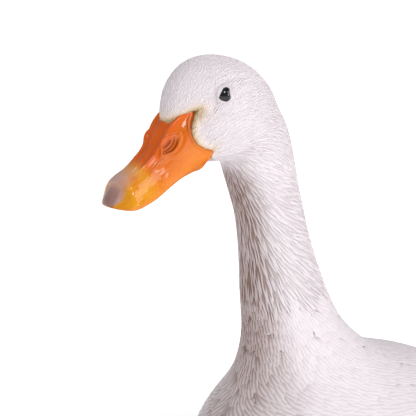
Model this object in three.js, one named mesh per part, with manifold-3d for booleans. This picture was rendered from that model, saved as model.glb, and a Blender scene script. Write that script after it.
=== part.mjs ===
// A life-size garden statue of a standing white duck, cast in resin and painted.
//
// Millimetres, +Z up. The duck faces -Y, its left side is +X, and it stands on Z = 0. Head, neck, trunk and
// tail are one flowing body, parted by thin cuts. The bill, eyes, wings, thighs, shanks and feet are fitted to
// it. Points of the median plane are written [y, z], and sizes of a tube are read at equal steps of its spine.
import * as THREE from "three";
import { mergeVertices } from "three/addons/utils/BufferGeometryUtils.js";
import Module from "manifold-3d";

const wasm = await Module();
wasm.setup();

// Driving dimensions
const GAP = 0.3; // between pieces that meet
const LIP = 1.2; // the upper bill's edge hangs this far below the bite line
const FINEST = 0.05; // detail smaller than this is merged away
const REACH = 600; // longer than the duck: the size of blocks that cut it
const EYE_HEIGHT = 445;
const EYE_RADIUS = 6.2;
const EYE_CENTRE = [19.4, 3, EYE_HEIGHT - 1.6];
const FOOT_OUT = 46; // from the median plane to the middle of each foot
const ANKLE_Y = 152;
const THIGH_TOP = 118; // where the thighs are let into the trunk's underside

const paint = (color, roughness) => new THREE.MeshStandardMaterial({ color, roughness, metalness: 0 });
const PLUMAGE = paint(0xe8dfe2, 0.55);
const BILL = paint(0xee8a1e, 0.22);
const LEG = paint(0xe07a1c, 0.35);
const BLACK = paint(0x0b0b0d, 0.05);

const SIDE = new THREE.Vector3(1, 0, 0);
const at = (...points) => points.map((p) => new THREE.Vector3(...p));
const median = ([y, z]) => new THREE.Vector3(0, y, z);
const clamp = (x, low, high) => Math.min(Math.max(x, low), high);

/** A smooth function of 0..1 through values at equal steps. */
function profile(values) {
  const curve = new THREE.SplineCurve(values.map((v, i) => new THREE.Vector2(i, v)));
  return (s) => Math.max(curve.getPoint(clamp(s, 0, 1)).y, 0);
}

/** 1 along a tube, falling to 0 as a quarter ellipse over `share` of each end. */
function roundedEnds(s, [first, last]) {
  const near = Math.min(s / first, (1 - s) / last, 1);
  return Math.sqrt(Math.max(1 - (1 - near) ** 2, 0));
}

/**
 * A closed tube: a sphere's rows become rings along a spine, flattened, bulged and closed at both ends.
 * wide, up and down are half sizes, square is the superellipse power, and side(s) points along a ring's width.
 * The tube comes as a function of how much it grows, so that a neighbour can be cut with some clearance.
 */
function tube({ spine, wide, up, down = up, square = [2], ends, side = () => SIDE, around, along }) {
  const curve = new THREE.CatmullRomCurve3(spine, false, "centripetal");
  const sizes = { wide: profile(wide), up: profile(up), down: profile(down) };
  const power = square.length > 1 ? profile(square) : () => square[0];
  return (grow = 0) => {
    const geometry = new THREE.SphereGeometry(1, around, along);
    const position = geometry.getAttribute("position");
    const point = new THREE.Vector3();
    for (let i = 0; i < position.count; i += 1) {
      point.fromBufferAttribute(position, i);
      const s = (1 - clamp(point.y, -1, 1)) / 2;
      const angle = Math.atan2(point.z, point.x);
      const round = roundedEnds(s, ends);
      const tangent = curve.getTangentAt(s);
      const lateral = side(s).clone().addScaledVector(tangent, -side(s).dot(tangent)).normalize();
      const normal = new THREE.Vector3().crossVectors(tangent, lateral);
      const bend = 2 / power(s);
      const [c, q] = [Math.cos(angle), Math.sin(angle)];
      const across = Math.sign(c) * Math.abs(c) ** bend * (sizes.wide(s) + grow) * round;
      const height = (q > 0 ? sizes.up(s) : sizes.down(s)) + grow;
      const above = Math.sign(q) * Math.abs(q) ** bend * height * round;
      point.copy(curve.getPointAt(s)).addScaledVector(tangent, grow * (2 * s - 1));
      point.addScaledVector(lateral, across).addScaledVector(normal, above);
      position.setXYZ(i, point.x, point.y, point.z);
    }
    return solid(geometry);
  };
}

/** A closed geometry as a solid that can be joined and cut. */
function solid(geometry) {
  const bare = geometry.clone();
  bare.deleteAttribute("normal");
  bare.deleteAttribute("uv");
  const merged = mergeVertices(bare, 1e-3);
  const made = new wasm.Manifold(
    new wasm.Mesh({
      numProp: 3,
      vertProperties: merged.getAttribute("position").array,
      triVerts: new Uint32Array(merged.index.array),
    }),
  );
  if (made.volume() <= 0) throw new Error("a shape is inside out");
  return made;
}

/** The solid's largest body, as cutting can leave slivers. */
function whole(cut) {
  return cut.decompose().reduce((a, b) => (a.volume() > b.volume() ? a : b)).simplify(FINEST);
}

function node(name, made, material) {
  const { vertProperties, triVerts } = whole(made).getMesh();
  const geometry = new THREE.BufferGeometry();
  geometry.setAttribute("position", new THREE.BufferAttribute(new Float32Array(vertProperties), 3));
  geometry.setIndex(new THREE.BufferAttribute(new Uint32Array(triVerts), 1));
  geometry.computeVertexNormals();
  const mesh = new THREE.Mesh(geometry, material);
  mesh.name = name;
  return mesh;
}

/** The node and its mirror image on the duck's right side. */
function pair(name, made, material) {
  const left = node(`${name}_left`, made, material);
  const right = new THREE.Mesh(left.geometry, material);
  right.name = `${name}_right`;
  right.scale.x = -1;
  return [left, right];
}

function block(width, length, height, [y, z], tilt = 0) {
  const geometry = new THREE.BoxGeometry(width, length, height);
  geometry.rotateX(tilt);
  geometry.translate(0, y, z);
  return solid(geometry);
}

/** A prism across the duck from an outline in the median plane, or of `half` width each side. */
function acrossPrism(outline, half) {
  const shape = new THREE.Shape(outline.map(([y, z]) => new THREE.Vector2(y, z)));
  const geometry = new THREE.ExtrudeGeometry(shape, { depth: 2 * half, bevelEnabled: false });
  geometry.rotateY(Math.PI / 2);
  geometry.rotateX(Math.PI / 2);
  geometry.translate(-half, 0, 0);
  return solid(geometry);
}

/** A clockwise outline moved inwards by `gap`. */
function inset(outline, gap) {
  const points = outline.map(([y, z]) => new THREE.Vector2(y, z));
  return points.map((p, i) => {
    const before = p.clone().sub(points.at(i - 1)).normalize();
    const after = points[(i + 1) % points.length].clone().sub(p).normalize();
    const along = before.clone().add(after).normalize();
    const reach = gap / along.dot(before);
    return [p.x + along.y * reach, p.y - along.x * reach];
  });
}

// ---- Body: head, neck, trunk and tail ----

const eyeLevel = (points) => points.map(([y, z]) => median([y, EYE_HEIGHT + z]));

const eyeProfile = (points) => points.map(([y, z]) => [y, EYE_HEIGHT + z]);

const headTube = tube({
  spine: eyeLevel([[53, -14], [10, -15.5], [-30.5, -21]]),
  wide: [14, 19.5, 24.6, 27.2, 27.5, 25.5, 20.5, 14, 8],
  up: [14, 19.5, 26, 31.6, 34.8, 35.4, 32.4, 24.8, 12],
  down: [12, 19, 26, 29.5, 31.5, 30.5, 27.5, 22.5, 15],
  square: [2, 2, 2.1, 2.2, 2.2, 2.2, 2.2, 2.1, 2],
  ends: [0.3, 0.12],
  around: 26,
  along: 18,
});

const neckTube = tube({
  spine: eyeLevel([
    [27, -4], [33, -28], [42, -58], [48, -77], [52, -94],
    [58, -119], [64, -145], [73, -175], [86, -208], [98, -240],
  ]),
  wide: [18, 23, 22.6, 21.2, 21.6, 24, 30, 44, 60, 56],
  up: [16, 21, 22, 22, 26, 32, 41, 54, 62, 52],
  down: [21, 25, 24, 22.8, 23.6, 27, 33, 44, 52, 50],
  ends: [0.12, 0.08],
  around: 26,
  along: 18,
});

const trunkTube = tube({
  spine: [[-4, 204], [50, 197], [115, 184], [190, 168], [255, 162], [318, 172]].map(median),
  wide: [48, 70, 83, 88, 88, 82, 70, 54, 36],
  up: [76, 82, 83, 83, 79, 70, 58, 42, 22],
  down: [54, 72, 80, 82, 80, 66, 46, 28, 14],
  square: [1.65, 1.7, 1.9, 2.15, 2.2, 2.1, 2, 2, 2],
  ends: [0.18, 0.08],
  around: 26,
  along: 18,
});

const tailTube = tube({
  spine: [[262, 172], [305, 180], [345, 192], [388, 214]].map(median),
  wide: [34, 40, 44, 44, 40, 30, 17],
  up: [24, 20, 15, 11, 7, 4, 2.5],
  down: [24, 18, 13, 8, 5, 3, 2],
  ends: [0.1, 0.12],
  around: 20,
  along: 10,
});

// ---- Bill: both halves follow the line where they meet ----

const biteLine = eyeLevel([
  [4, -35], [-5, -38], [-12, -41], [-20.4, -45.4], [-29.4, -51.4],
  [-38.4, -57], [-48, -60.8], [-60, -63.6], [-69, -63],
]);

const upperBillTube = tube({
  spine: biteLine,
  wide: [15.5, 16.6, 16.2, 14.8, 14, 14.8, 16.3, 17, 14],
  up: [29, 31, 28.6, 22.6, 19.8, 19.2, 18.4, 15.6, 10],
  down: [1.2],
  square: [2.6, 2.6, 2.6, 2.4, 2.3, 2.2, 2.1, 2, 2],
  ends: [0.06, 0.17],
  around: 22,
  along: 16,
});

const lowerBillTube = tube({
  spine: biteLine.slice(0, -1).map(({ y, z }) => median([y - 0.5, z - 1.6])),
  wide: [14.6, 14.9, 13.6, 12, 11.4, 12, 12.8, 11],
  up: [1.2],
  down: [7, 6.6, 5.6, 4.6, 4, 3.4, 2.8, 2.2],
  ends: [0.1, 0.2],
  around: 18,
  along: 12,
});

// The side outline where the bill meets the face, down from the crest of the bill's root to the chin.
const FACE_LINE = [
  [-34, -19.2], [-19, -11], [-12.2, -6], [-12.2, -12], [-11.8, -18], [-11, -24], [-10, -29], [-8, -32.4],
  [-1.8, -35.2], [-0.6, -38], [-5, -43], [-13, -51],
];
const BILL_REACH = 120; // in front of the eyes: past the bill's tip
const billSpace = [...FACE_LINE, [-20, -90], [-BILL_REACH, -90], [-BILL_REACH, -23]];
const HALF_ACROSS = 40; // wider than the head
const faceSpace = (gap) => acrossPrism(inset(eyeProfile(billSpace), gap), HALF_ACROSS);

// ---- Eyes ----

function eyeball(grow = 0) {
  const geometry = new THREE.SphereGeometry(EYE_RADIUS + grow, 14, 9);
  geometry.rotateZ(Math.PI / 2);
  geometry.translate(...EYE_CENTRE);
  return solid(geometry);
}

// ---- Wings, thighs, shanks and feet: the left one of each ----

/** The direction of a wing's width, leaning inwards from upright by an angle that grows along the wing. */
const leaning = (first, last) => (s) => {
  const angle = first + (last - first) * s ** 2;
  return new THREE.Vector3(-Math.sin(angle), 0, Math.cos(angle));
};
const WING_DEPTH = 6; // how far the folded wing stands out from the trunk

// The folded wing lies on the trunk within this outline, and its flight feathers reach back over the tail.
const wingOutline = tube({
  spine: at([80, 62, 205], [88, 110, 202], [86, 165, 194], [74, 225, 192], [50, 290, 200]),
  wide: [30, 46, 50, 48, 42, 30],
  up: [30],
  side: leaning(0.3, 0.85),
  ends: [0.24, 0.14],
  around: 16,
  along: 10,
});

const flightTube = tube({
  spine: at([74, 170, 214], [58, 230, 208], [36, 295, 206], [13, 348, 216]),
  wide: [14, 24, 27, 23, 16, 8],
  up: [5, 6.5, 6, 5, 3.5, 2],
  side: leaning(0.66, 1.3),
  ends: [0.24, 0.14],
  around: 14,
  along: 10,
});

const thighTube = tube({
  spine: at([40, 134, 150], [45, 142, 112], [45, 152, 84], [45, 158, 66]),
  wide: [30, 31, 28, 21, 12],
  up: [34, 36, 32, 24, 13],
  ends: [0.2, 0.14],
  around: 18,
  along: 10,
});

const shankTube = tube({
  spine: at([45, 158, 84], [45, 159, 72], [45.5, 156, 56], [46, 153, 34], [FOOT_OUT, ANKLE_Y, 8]),
  wide: [7.4, 8, 6.6, 6, 6, 6.4, 7.6],
  up: [8.4, 9, 7.2, 6.6, 6.6, 7, 8.4],
  ends: [0.1, 0.08],
  around: 12,
  along: 10,
});

const TOES = [
  { length: 74, turn: 0, joints: 3 },
  { length: 60, turn: 0.46, joints: 2 },
  { length: 66, turn: -0.44, joints: 4 },
];
const BACK_TOE = { length: 19, turn: Math.PI * 0.92, joints: 1 };
const TOE_THICK = 9;
const TOE_HALF = { ankle: 5.3, tip: 3.4 };
const KNUCKLE = 0.06; // how much a toe swells at each joint, and thins between two
const WEB_THICK = 3.4;
const WEB_EDGE = 62; // the scalloped edge's distance from the ankle, between two toes

/** A toe from the ankle: a tapering tube with a swelling at each joint and a blunt tip, flat on the floor. */
function toe({ length, turn, joints }) {
  const steps = 2 * joints + 2;
  const sizes = Array.from({ length: steps + 1 }, (_, i) => {
    const half = TOE_HALF.ankle + (TOE_HALF.tip - TOE_HALF.ankle) * (i / steps);
    return half * (i % 2 ? 1 + KNUCKLE : 1 - KNUCKLE);
  });
  const tip = new THREE.Vector3(Math.sin(turn), -Math.cos(turn), 0);
  const spine = [0, 0.5, 1].map((share) =>
    new THREE.Vector3(FOOT_OUT, ANKLE_Y, TOE_THICK * (0.5 - 0.2 * share)).addScaledVector(tip, share * length),
  );
  return tube({
    spine,
    wide: sizes,
    up: sizes,
    side: () => new THREE.Vector3(Math.cos(turn), Math.sin(turn), 0),
    ends: [0.06, 0.1],
    around: 8,
    along: 2 * joints + 3,
  })();
}

/** The web between the three front toes, its edge scalloped between their tips. */
function web() {
  const tipOf = ({ length, turn }, share) => [
    FOOT_OUT + Math.sin(turn) * length * share,
    ANKLE_Y - Math.cos(turn) * length * share,
  ];
  const [middle, outer, inner] = TOES;
  const shape = new THREE.Shape();
  shape.moveTo(FOOT_OUT - 3, ANKLE_Y + 4);
  shape.lineTo(...tipOf(inner, 0.9));
  shape.quadraticCurveTo(...tipOf({ length: WEB_EDGE, turn: inner.turn / 2 }, 0.86), ...tipOf(middle, 0.9));
  shape.quadraticCurveTo(...tipOf({ length: WEB_EDGE, turn: outer.turn / 2 }, 0.84), ...tipOf(outer, 0.9));
  shape.lineTo(FOOT_OUT + 3, ANKLE_Y + 4);
  return solid(new THREE.ExtrudeGeometry(shape, { depth: WEB_THICK, bevelEnabled: false, curveSegments: 6 }));
}

function foot() {
  const floor = block(REACH, REACH, REACH, [ANKLE_Y, -REACH / 2]);
  return [...TOES, BACK_TOE].map(toe).reduce((a, b) => a.add(b), web()).subtract(floor);
}

// ---- Parting and fitting ----

/** The part of a solid above or below a plane through two points of the median plane. */
function sideOf(made, [y0, z0], [y1, z1], above) {
  const tilt = Math.atan2(z1 - z0, y1 - y0);
  const offset = (above ? -1 : 1) * (REACH / 2 - GAP / 2);
  const centre = [(y0 + y1) / 2 - Math.sin(tilt) * offset, (z0 + z1) / 2 + Math.cos(tilt) * offset];
  return made.subtract(block(REACH, REACH, REACH, centre, tilt));
}

const THROAT_CUT = [[10, EYE_HEIGHT - 50], [56, EYE_HEIGHT - 30]];
const SHOULDER_CUT = [[20, 284], [130, 277]];
const TAIL_CUT = [[282, 148], [276, 230]];

const flesh = headTube().add(neckTube()).add(trunkTube()).add(tailTube());

const rightOf = (made) => {
  const geometry = node("mirror", made, PLUMAGE).geometry.clone().toNonIndexed();
  const position = geometry.getAttribute("position");
  for (let i = 0; i < position.count; i += 3) {
    const [a, b, c] = [0, 1, 2].map((k) => new THREE.Vector3().fromBufferAttribute(position, i + k));
    [a, c, b].forEach((p, k) => position.setXYZ(i + k, -p.x, p.y, p.z));
  }
  return solid(geometry);
};

const sockets = eyeball(GAP).add(rightOf(eyeball(GAP)));
const thighBelow = (grow) => sideOf(thighTube(grow), [0, THIGH_TOP + grow], [300, THIGH_TOP + grow], false);

const head = sideOf(flesh, ...THROAT_CUT, true).subtract(sockets).subtract(faceSpace(0));
const neck = sideOf(sideOf(flesh, ...THROAT_CUT, false), ...SHOULDER_CUT, true);
const behind = sideOf(flesh, ...SHOULDER_CUT, false);
const trunk = sideOf(behind, ...TAIL_CUT, true).subtract(thighBelow(GAP)).subtract(rightOf(thighBelow(GAP)));
const tail = sideOf(behind, ...TAIL_CUT, false);

/** All that lies more than the lip and `drop` below the bite line. */
function underBite(drop) {
  const [first, last] = [biteLine[0], biteLine.at(-1)];
  const floor = first.z - 3 * HALF_ACROSS;
  const line = [[30, first.z], ...biteLine.map(({ y, z }) => [y, z]), [-BILL_REACH, last.z]];
  const outline = [...line.map(([y, z]) => [y, z - LIP - drop]), [-BILL_REACH, floor], [30, floor]];
  return acrossPrism(outline, HALF_ACROSS);
}

const bill = upperBillTube().add(lowerBillTube()).intersect(faceSpace(GAP));
const upper = bill.subtract(underBite(0));
const lower = bill.intersect(underBite(GAP));
const folded = wingOutline().intersect(trunkTube(WING_DEPTH)).add(flightTube());
const wing = [trunkTube, tailTube, neckTube].reduce((made, other) => made.subtract(other(2 * GAP)), folded);

const duck = new THREE.Group();
duck.add(
  node("head", head, PLUMAGE),
  node("neck", neck, PLUMAGE),
  node("trunk", trunk, PLUMAGE),
  node("tail", tail, PLUMAGE),
  node("bill_upper", upper, BILL),
  node("bill_lower", lower, BILL),
  ...pair("eye", eyeball(), BLACK),
  ...pair("wing", wing, PLUMAGE),
  ...pair("thigh", thighBelow(0), PLUMAGE),
  ...pair("shank", shankTube().subtract(thighTube(GAP)), LEG),
  ...pair("foot", foot().subtract(shankTube(GAP)), LEG),
);

const box = new THREE.Box3().setFromObject(duck, true);
duck.position.y = -(box.min.y + box.max.y) / 2;

export default duck;
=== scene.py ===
"""Looks of a life-size statue of a standing white duck: cast resin, carved with feathers and painted.

Metres, +Z up. The duck faces -Y, its left side is +X, and it stands on Z = 0. One skin runs under the
whole plumage. Over it lie the carved feathers: short strokes on the head, long strands round the neck,
rounded vanes on breast, back and belly, and flight feathers on wings and tail. Bill, eyes, shanks, feet and
claws are pieces apart. Sizes are millimetres where a name or a comment says so, and MM makes them metres.
"""

import logging
import math
from collections.abc import Callable, Sequence
from dataclasses import dataclass
from enum import Enum

import bmesh
import bpy
import numpy as np
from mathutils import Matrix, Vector, noise
from mathutils.bvhtree import BVHTree


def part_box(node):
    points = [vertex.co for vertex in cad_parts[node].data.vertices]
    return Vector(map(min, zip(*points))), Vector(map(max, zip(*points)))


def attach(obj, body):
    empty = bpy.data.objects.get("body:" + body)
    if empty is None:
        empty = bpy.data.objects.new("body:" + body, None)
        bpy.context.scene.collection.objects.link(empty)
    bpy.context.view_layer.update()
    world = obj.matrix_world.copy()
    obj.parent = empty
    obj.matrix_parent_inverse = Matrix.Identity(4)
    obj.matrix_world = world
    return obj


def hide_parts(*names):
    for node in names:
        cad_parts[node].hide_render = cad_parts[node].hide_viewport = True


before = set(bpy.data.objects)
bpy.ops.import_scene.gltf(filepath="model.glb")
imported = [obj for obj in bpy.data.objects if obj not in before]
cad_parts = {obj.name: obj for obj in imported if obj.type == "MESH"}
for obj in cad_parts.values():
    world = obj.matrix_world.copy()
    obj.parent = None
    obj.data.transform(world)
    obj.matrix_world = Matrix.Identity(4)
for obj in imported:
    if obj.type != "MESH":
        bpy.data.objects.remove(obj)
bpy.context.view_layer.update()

MM = 0.001
BODY = "root"
PATCH = 0.003  # the size of one feather's patch on the OFBake map
LONG = 20  # steps along a large feather
LOG = logging.getLogger("duck")
Array = np.ndarray

EYE_LOW, EYE_HIGH = (np.array(corner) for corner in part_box("eye_left"))
EYE_NODE = (EYE_LOW + EYE_HIGH) / 2
EYE_RADIUS = (EYE_HIGH[2] - EYE_LOW[2]) / 2 + 0.2 * MM
# Where the face's own coordinates start: the median plane, 3 mm before the eyes and 1.6 mm above them.
FACE = np.array([0.0, EYE_NODE[1] - 3.0 * MM, EYE_NODE[2] + 1.6 * MM])


class Slot(Enum):
    """The record's material slots."""

    PLUMAGE = "plumage"
    BILL = "bill"
    EYE = "eye"
    LEG = "leg"


# ---------------------------------------------------------------- small mathematics


def ease(x: Array | float, low: float, high: float) -> Array:
    """A smooth step from 0 at low to 1 at high."""
    t = np.clip((np.asarray(x, dtype=float) - low) / (high - low), 0.0, 1.0)
    return t * t * (3.0 - 2.0 * t)


def unit(v: Array) -> Array:
    """The vectors of an (n, 3) array at length 1."""
    return v / np.maximum(np.linalg.norm(v, axis=-1, keepdims=True), 1e-12)


def mix(a: Array | float, b: Array | float, share: Array | float) -> Array:
    """A blend, from a where the share is 0 to b where it is 1."""
    return a * (1.0 - share) + b * share


def bell(x: Array, middle: float, width: float) -> Array:
    """A smooth hump, 1 at its middle and a third of that a width away."""
    return np.exp(-(((x - middle) / width) ** 2))


def nearest_curve(at: Array, values: Array, degree: int) -> Array:
    """The polynomial that comes nearest to rows of values, read at the same places."""
    fit = np.polynomial.polynomial.polyfit(at, values, degree)
    return np.polynomial.polynomial.polyval(at, fit).T


def smooth_line(points: Sequence[Sequence[float]], count: int = 400) -> Array:
    """Points at equal steps along a smooth line.

    Args:
        points: What the line runs through.
        count: How many points to return.

    Returns:
        An array of shape (count, dimensions).
    """
    p = np.array(points, dtype=float)
    p = np.vstack([2 * p[0] - p[1], p, 2 * p[-1] - p[-2]])
    t = np.linspace(0.0, len(p) - 3 - 1e-9, count * 4)
    i = t.astype(int)
    f = (t - i)[:, None]
    a, b, c, d = p[i], p[i + 1], p[i + 2], p[i + 3]
    line = 0.5 * (2 * b + (c - a) * f + (2 * a - 5 * b + 4 * c - d) * f**2 + (3 * b - a - 3 * c + d) * f**3)
    length = np.concatenate([[0.0], np.cumsum(np.linalg.norm(np.diff(line, axis=0), axis=1))])
    even = np.linspace(0.0, length[-1], count)
    return np.stack([np.interp(even, length, line[:, k]) for k in range(p.shape[1])], axis=1)


def profile(values: Sequence[float]) -> Callable[[Array], Array]:
    """A smooth function of 0..1 through values at equal steps."""
    if len(values) == 1:
        return lambda s: np.full_like(np.asarray(s, dtype=float), values[0])
    line = smooth_line([[i, v] for i, v in enumerate(values)], 300)
    last = len(values) - 1
    return lambda s: np.interp(np.asarray(s) * last, line[:, 0], line[:, 1])


def outline_distance(points: Array, outline: Array) -> Array:
    """Signed distance from 2-D points to a closed outline.

    Args:
        points: An (n, 2) array.
        outline: The corners of the outline, in order.

    Returns:
        Distances, negative inside the outline.
    """
    nearest = np.full(len(points), 1e9)
    inside = np.zeros(len(points), dtype=bool)
    for a, b in zip(outline, np.roll(outline, -1, axis=0)):
        edge = b - a
        t = np.clip(((points - a) @ edge) / max(edge @ edge, 1e-12), 0.0, 1.0)
        nearest = np.minimum(nearest, np.linalg.norm(points - (a + t[:, None] * edge), axis=1))
        if a[1] != b[1]:
            crosses = (a[1] > points[:, 1]) != (b[1] > points[:, 1])
            reach = a[0] + (points[:, 1] - a[1]) / (b[1] - a[1]) * edge[0]
            inside ^= crosses & (points[:, 0] < reach)
    return np.where(inside, -nearest, nearest)


def mirrored(points: Array) -> Array:
    """The points, with those on the duck's right brought over to its left."""
    left = points.copy()
    left[:, 0] = np.abs(left[:, 0])
    return left


def face_mm(points: Array) -> Array:
    """Points in the face's coordinates: millimetres, x outwards on either side, y backwards, z up."""
    return (mirrored(points) - FACE) / MM


# ---------------------------------------------------------------- meshes and objects


def new_object(name: str, mesh: bpy.types.Mesh, smooth: bool = True) -> bpy.types.Object:
    """An object for a mesh, linked to the scene."""
    for polygon in mesh.polygons:
        polygon.use_smooth = smooth
    obj = bpy.data.objects.new(name, mesh)
    bpy.context.scene.collection.objects.link(obj)
    return obj


def from_bmesh(name: str, bm: bmesh.types.BMesh) -> bpy.types.Object:
    """A new object from a bmesh, which is freed."""
    mesh = bpy.data.meshes.new(name)
    bm.to_mesh(mesh)
    bm.free()
    return new_object(name, mesh)


def sphere(around: int, along: int, radius: float = 1.0) -> bmesh.types.BMesh:
    """A ball with its poles on Z. Its vertices and faces come in the same order at every run."""
    turns = np.pi * (0.5 - 2.0 * np.arange(around) / around)
    polars = np.pi * np.arange(1, along) / along
    bm = bmesh.new()
    rings = [
        [bm.verts.new((x, y, radius * math.cos(polar)))
         for x, y in zip(radius * math.sin(polar) * np.cos(turns), radius * math.sin(polar) * np.sin(turns))]
        for polar in polars
    ]
    top, bottom = bm.verts.new((0.0, 0.0, radius)), bm.verts.new((0.0, 0.0, -radius))
    for k in range(around):
        n = (k + 1) % around
        bm.faces.new((top, rings[0][n], rings[0][k]))
        for upper, lower in zip(rings, rings[1:]):
            bm.faces.new((upper[n], lower[n], lower[k], upper[k]))
        bm.faces.new((bottom, rings[-1][k], rings[-1][n]))
    bm.normal_update()
    return bm


def node_copy(name: str) -> bmesh.types.BMesh:
    """A copy of a CAD node's shape, its loose triangles merged."""
    bm = bmesh.new()
    bm.from_mesh(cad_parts[name].data)
    bmesh.ops.remove_doubles(bm, verts=bm.verts[:], dist=1e-6)
    return bm


def add_part(whole: bmesh.types.BMesh, part: bmesh.types.BMesh) -> None:
    """Adds a bmesh to another, and frees it."""
    mesh = bpy.data.meshes.new("part")
    part.to_mesh(mesh)
    part.free()
    whole.from_mesh(mesh)
    bpy.data.meshes.remove(mesh)


def remeshed(rough: bpy.types.Object, voxel: float, name: str) -> bpy.types.Mesh:
    """A closed mesh round a rough object, which is removed.

    Args:
        rough: The object.
        voxel: The size of the new faces, in metres.
        name: The new mesh's name.

    Returns:
        The mesh.
    """
    remesh = rough.modifiers.new("remesh", "REMESH")
    remesh.mode = "VOXEL"
    remesh.voxel_size = voxel
    depsgraph = bpy.context.evaluated_depsgraph_get()
    mesh = bpy.data.meshes.new_from_object(rough.evaluated_get(depsgraph))
    bpy.data.objects.remove(rough)
    mesh.name = name
    return mesh


def coordinates(mesh: bpy.types.Mesh) -> Array:
    """The mesh's vertices as an (n, 3) array."""
    flat = np.empty(len(mesh.vertices) * 3)
    mesh.vertices.foreach_get("co", flat)
    return flat.reshape(-1, 3)


def move_to(mesh: bpy.types.Mesh, points: Array) -> None:
    """Puts the mesh's vertices at the points of an (n, 3) array."""
    mesh.vertices.foreach_set("co", points.ravel())
    mesh.update()


def vertex_normals(mesh: bpy.types.Mesh) -> Array:
    """The mesh's vertex normals as an (n, 3) array."""
    flat = np.empty(len(mesh.vertices) * 3)
    mesh.vertex_normals.foreach_get("vector", flat)
    return flat.reshape(-1, 3)


def paint(mesh: bpy.types.Mesh, name: str, values: Array) -> None:
    """Stores one number for each vertex, which a finish reads by its name."""
    layer = mesh.attributes.get(name) or mesh.attributes.new(name, "FLOAT", "POINT")
    layer.data.foreach_set("value", np.asarray(values, dtype=np.float32))


def finish_piece(obj: bpy.types.Object, slot: Slot, material: bpy.types.Material, *nodes: str) -> None:
    """Dresses a piece and ties it to the frame.

    Args:
        obj: The piece, its place in its mesh.
        slot: The record's slot; not used.
        material: Its finish.
        nodes: The CAD nodes that it stands for.
    """
    obj.data.materials.clear()
    obj.data.materials.append(material)
    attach(obj, BODY)
    if nodes:
        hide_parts(*nodes)
    LOG.info("%s: %d faces", obj.name, len(obj.data.polygons))


@dataclass(frozen=True)
class Tube:
    """A closed tube along a smooth spine, with half sizes read at equal steps. Millimetres in, metres out.

    Args of the fields:
        spine: Points in the row frame, in metres.
        wide: Half widths; up and down: half heights on either side of the spine.
        square: Power of the superellipse section.
        ends: The share of the length that each rounded end takes.
        side: The direction of a ring's width for each s, as rows.
    """

    spine: Array
    wide: tuple[float, ...]
    up: tuple[float, ...]
    down: tuple[float, ...]
    square: tuple[float, ...] = (2.0,)
    ends: tuple[float, float] = (0.1, 0.1)
    side: tuple[float, float, float] = (1.0, 0.0, 0.0)

    def place(self, s: Array, angle: Array, lift: Array | float = 0.0) -> Array:
        """Points on the tube.

        Args:
            s: 0..1 along the spine.
            angle: Round the section, 0 along the width and a quarter turn at the top.
            lift: How far off the surface, in metres.

        Returns:
            An (n, 3) array.
        """
        line = smooth_line(self.spine)
        steps = np.linspace(0.0, 1.0, len(line))
        centre = np.stack([np.interp(s, steps, line[:, k]) for k in range(3)], axis=1)
        slope = np.gradient(line, axis=0)
        tangent = unit(np.stack([np.interp(s, steps, slope[:, k]) for k in range(3)], axis=1))
        side = np.array(self.side)
        lateral = unit(side - (tangent @ side)[:, None] * tangent)
        normal = np.cross(tangent, lateral)
        near = np.minimum(np.minimum(s / self.ends[0], (1.0 - s) / self.ends[1]), 1.0)
        rounded = np.sqrt(np.maximum(1.0 - (1.0 - near) ** 2, 0.0))
        bend = 2.0 / profile(self.square)(s)
        c, q = np.cos(angle), np.sin(angle)
        across = np.sign(c) * np.abs(c) ** bend * profile(self.wide)(s) * MM
        height = np.where(q > 0, profile(self.up)(s), profile(self.down)(s)) * MM
        above = np.sign(q) * np.abs(q) ** bend * height
        stretch = 1.0 + lift / np.maximum(np.hypot(across, above), 0.5 * MM)
        across, above = across * stretch, above * stretch
        return centre + lateral * (across * rounded)[:, None] + normal * (above * rounded)[:, None]

    def build(self, around: int, along: int) -> tuple[bmesh.types.BMesh, Array, Array]:
        """The tube as a bmesh made from a sphere.

        Args:
            around: Columns round the section.
            along: Rows along the spine.

        Returns:
            The bmesh, and each vertex's s and angle.
        """
        bm = sphere(around, along)
        ball = np.array([v.co[:] for v in bm.verts])
        polar = np.arccos(np.clip(ball[:, 2], -1.0, 1.0))
        s = polar / math.pi
        angle = np.arctan2(ball[:, 1], ball[:, 0])
        place_vertices(bm, self.place(s, angle))
        bmesh.ops.recalc_face_normals(bm, faces=bm.faces[:])
        return bm, s, angle


def place_vertices(bm: bmesh.types.BMesh, points: Array) -> None:
    """Moves a bmesh's vertices to the rows of an (n, 3) array."""
    for vertex, point in zip(bm.verts, points):
        vertex.co = point
    bm.normal_update()


# ---------------------------------------------------------------- finishes


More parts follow.
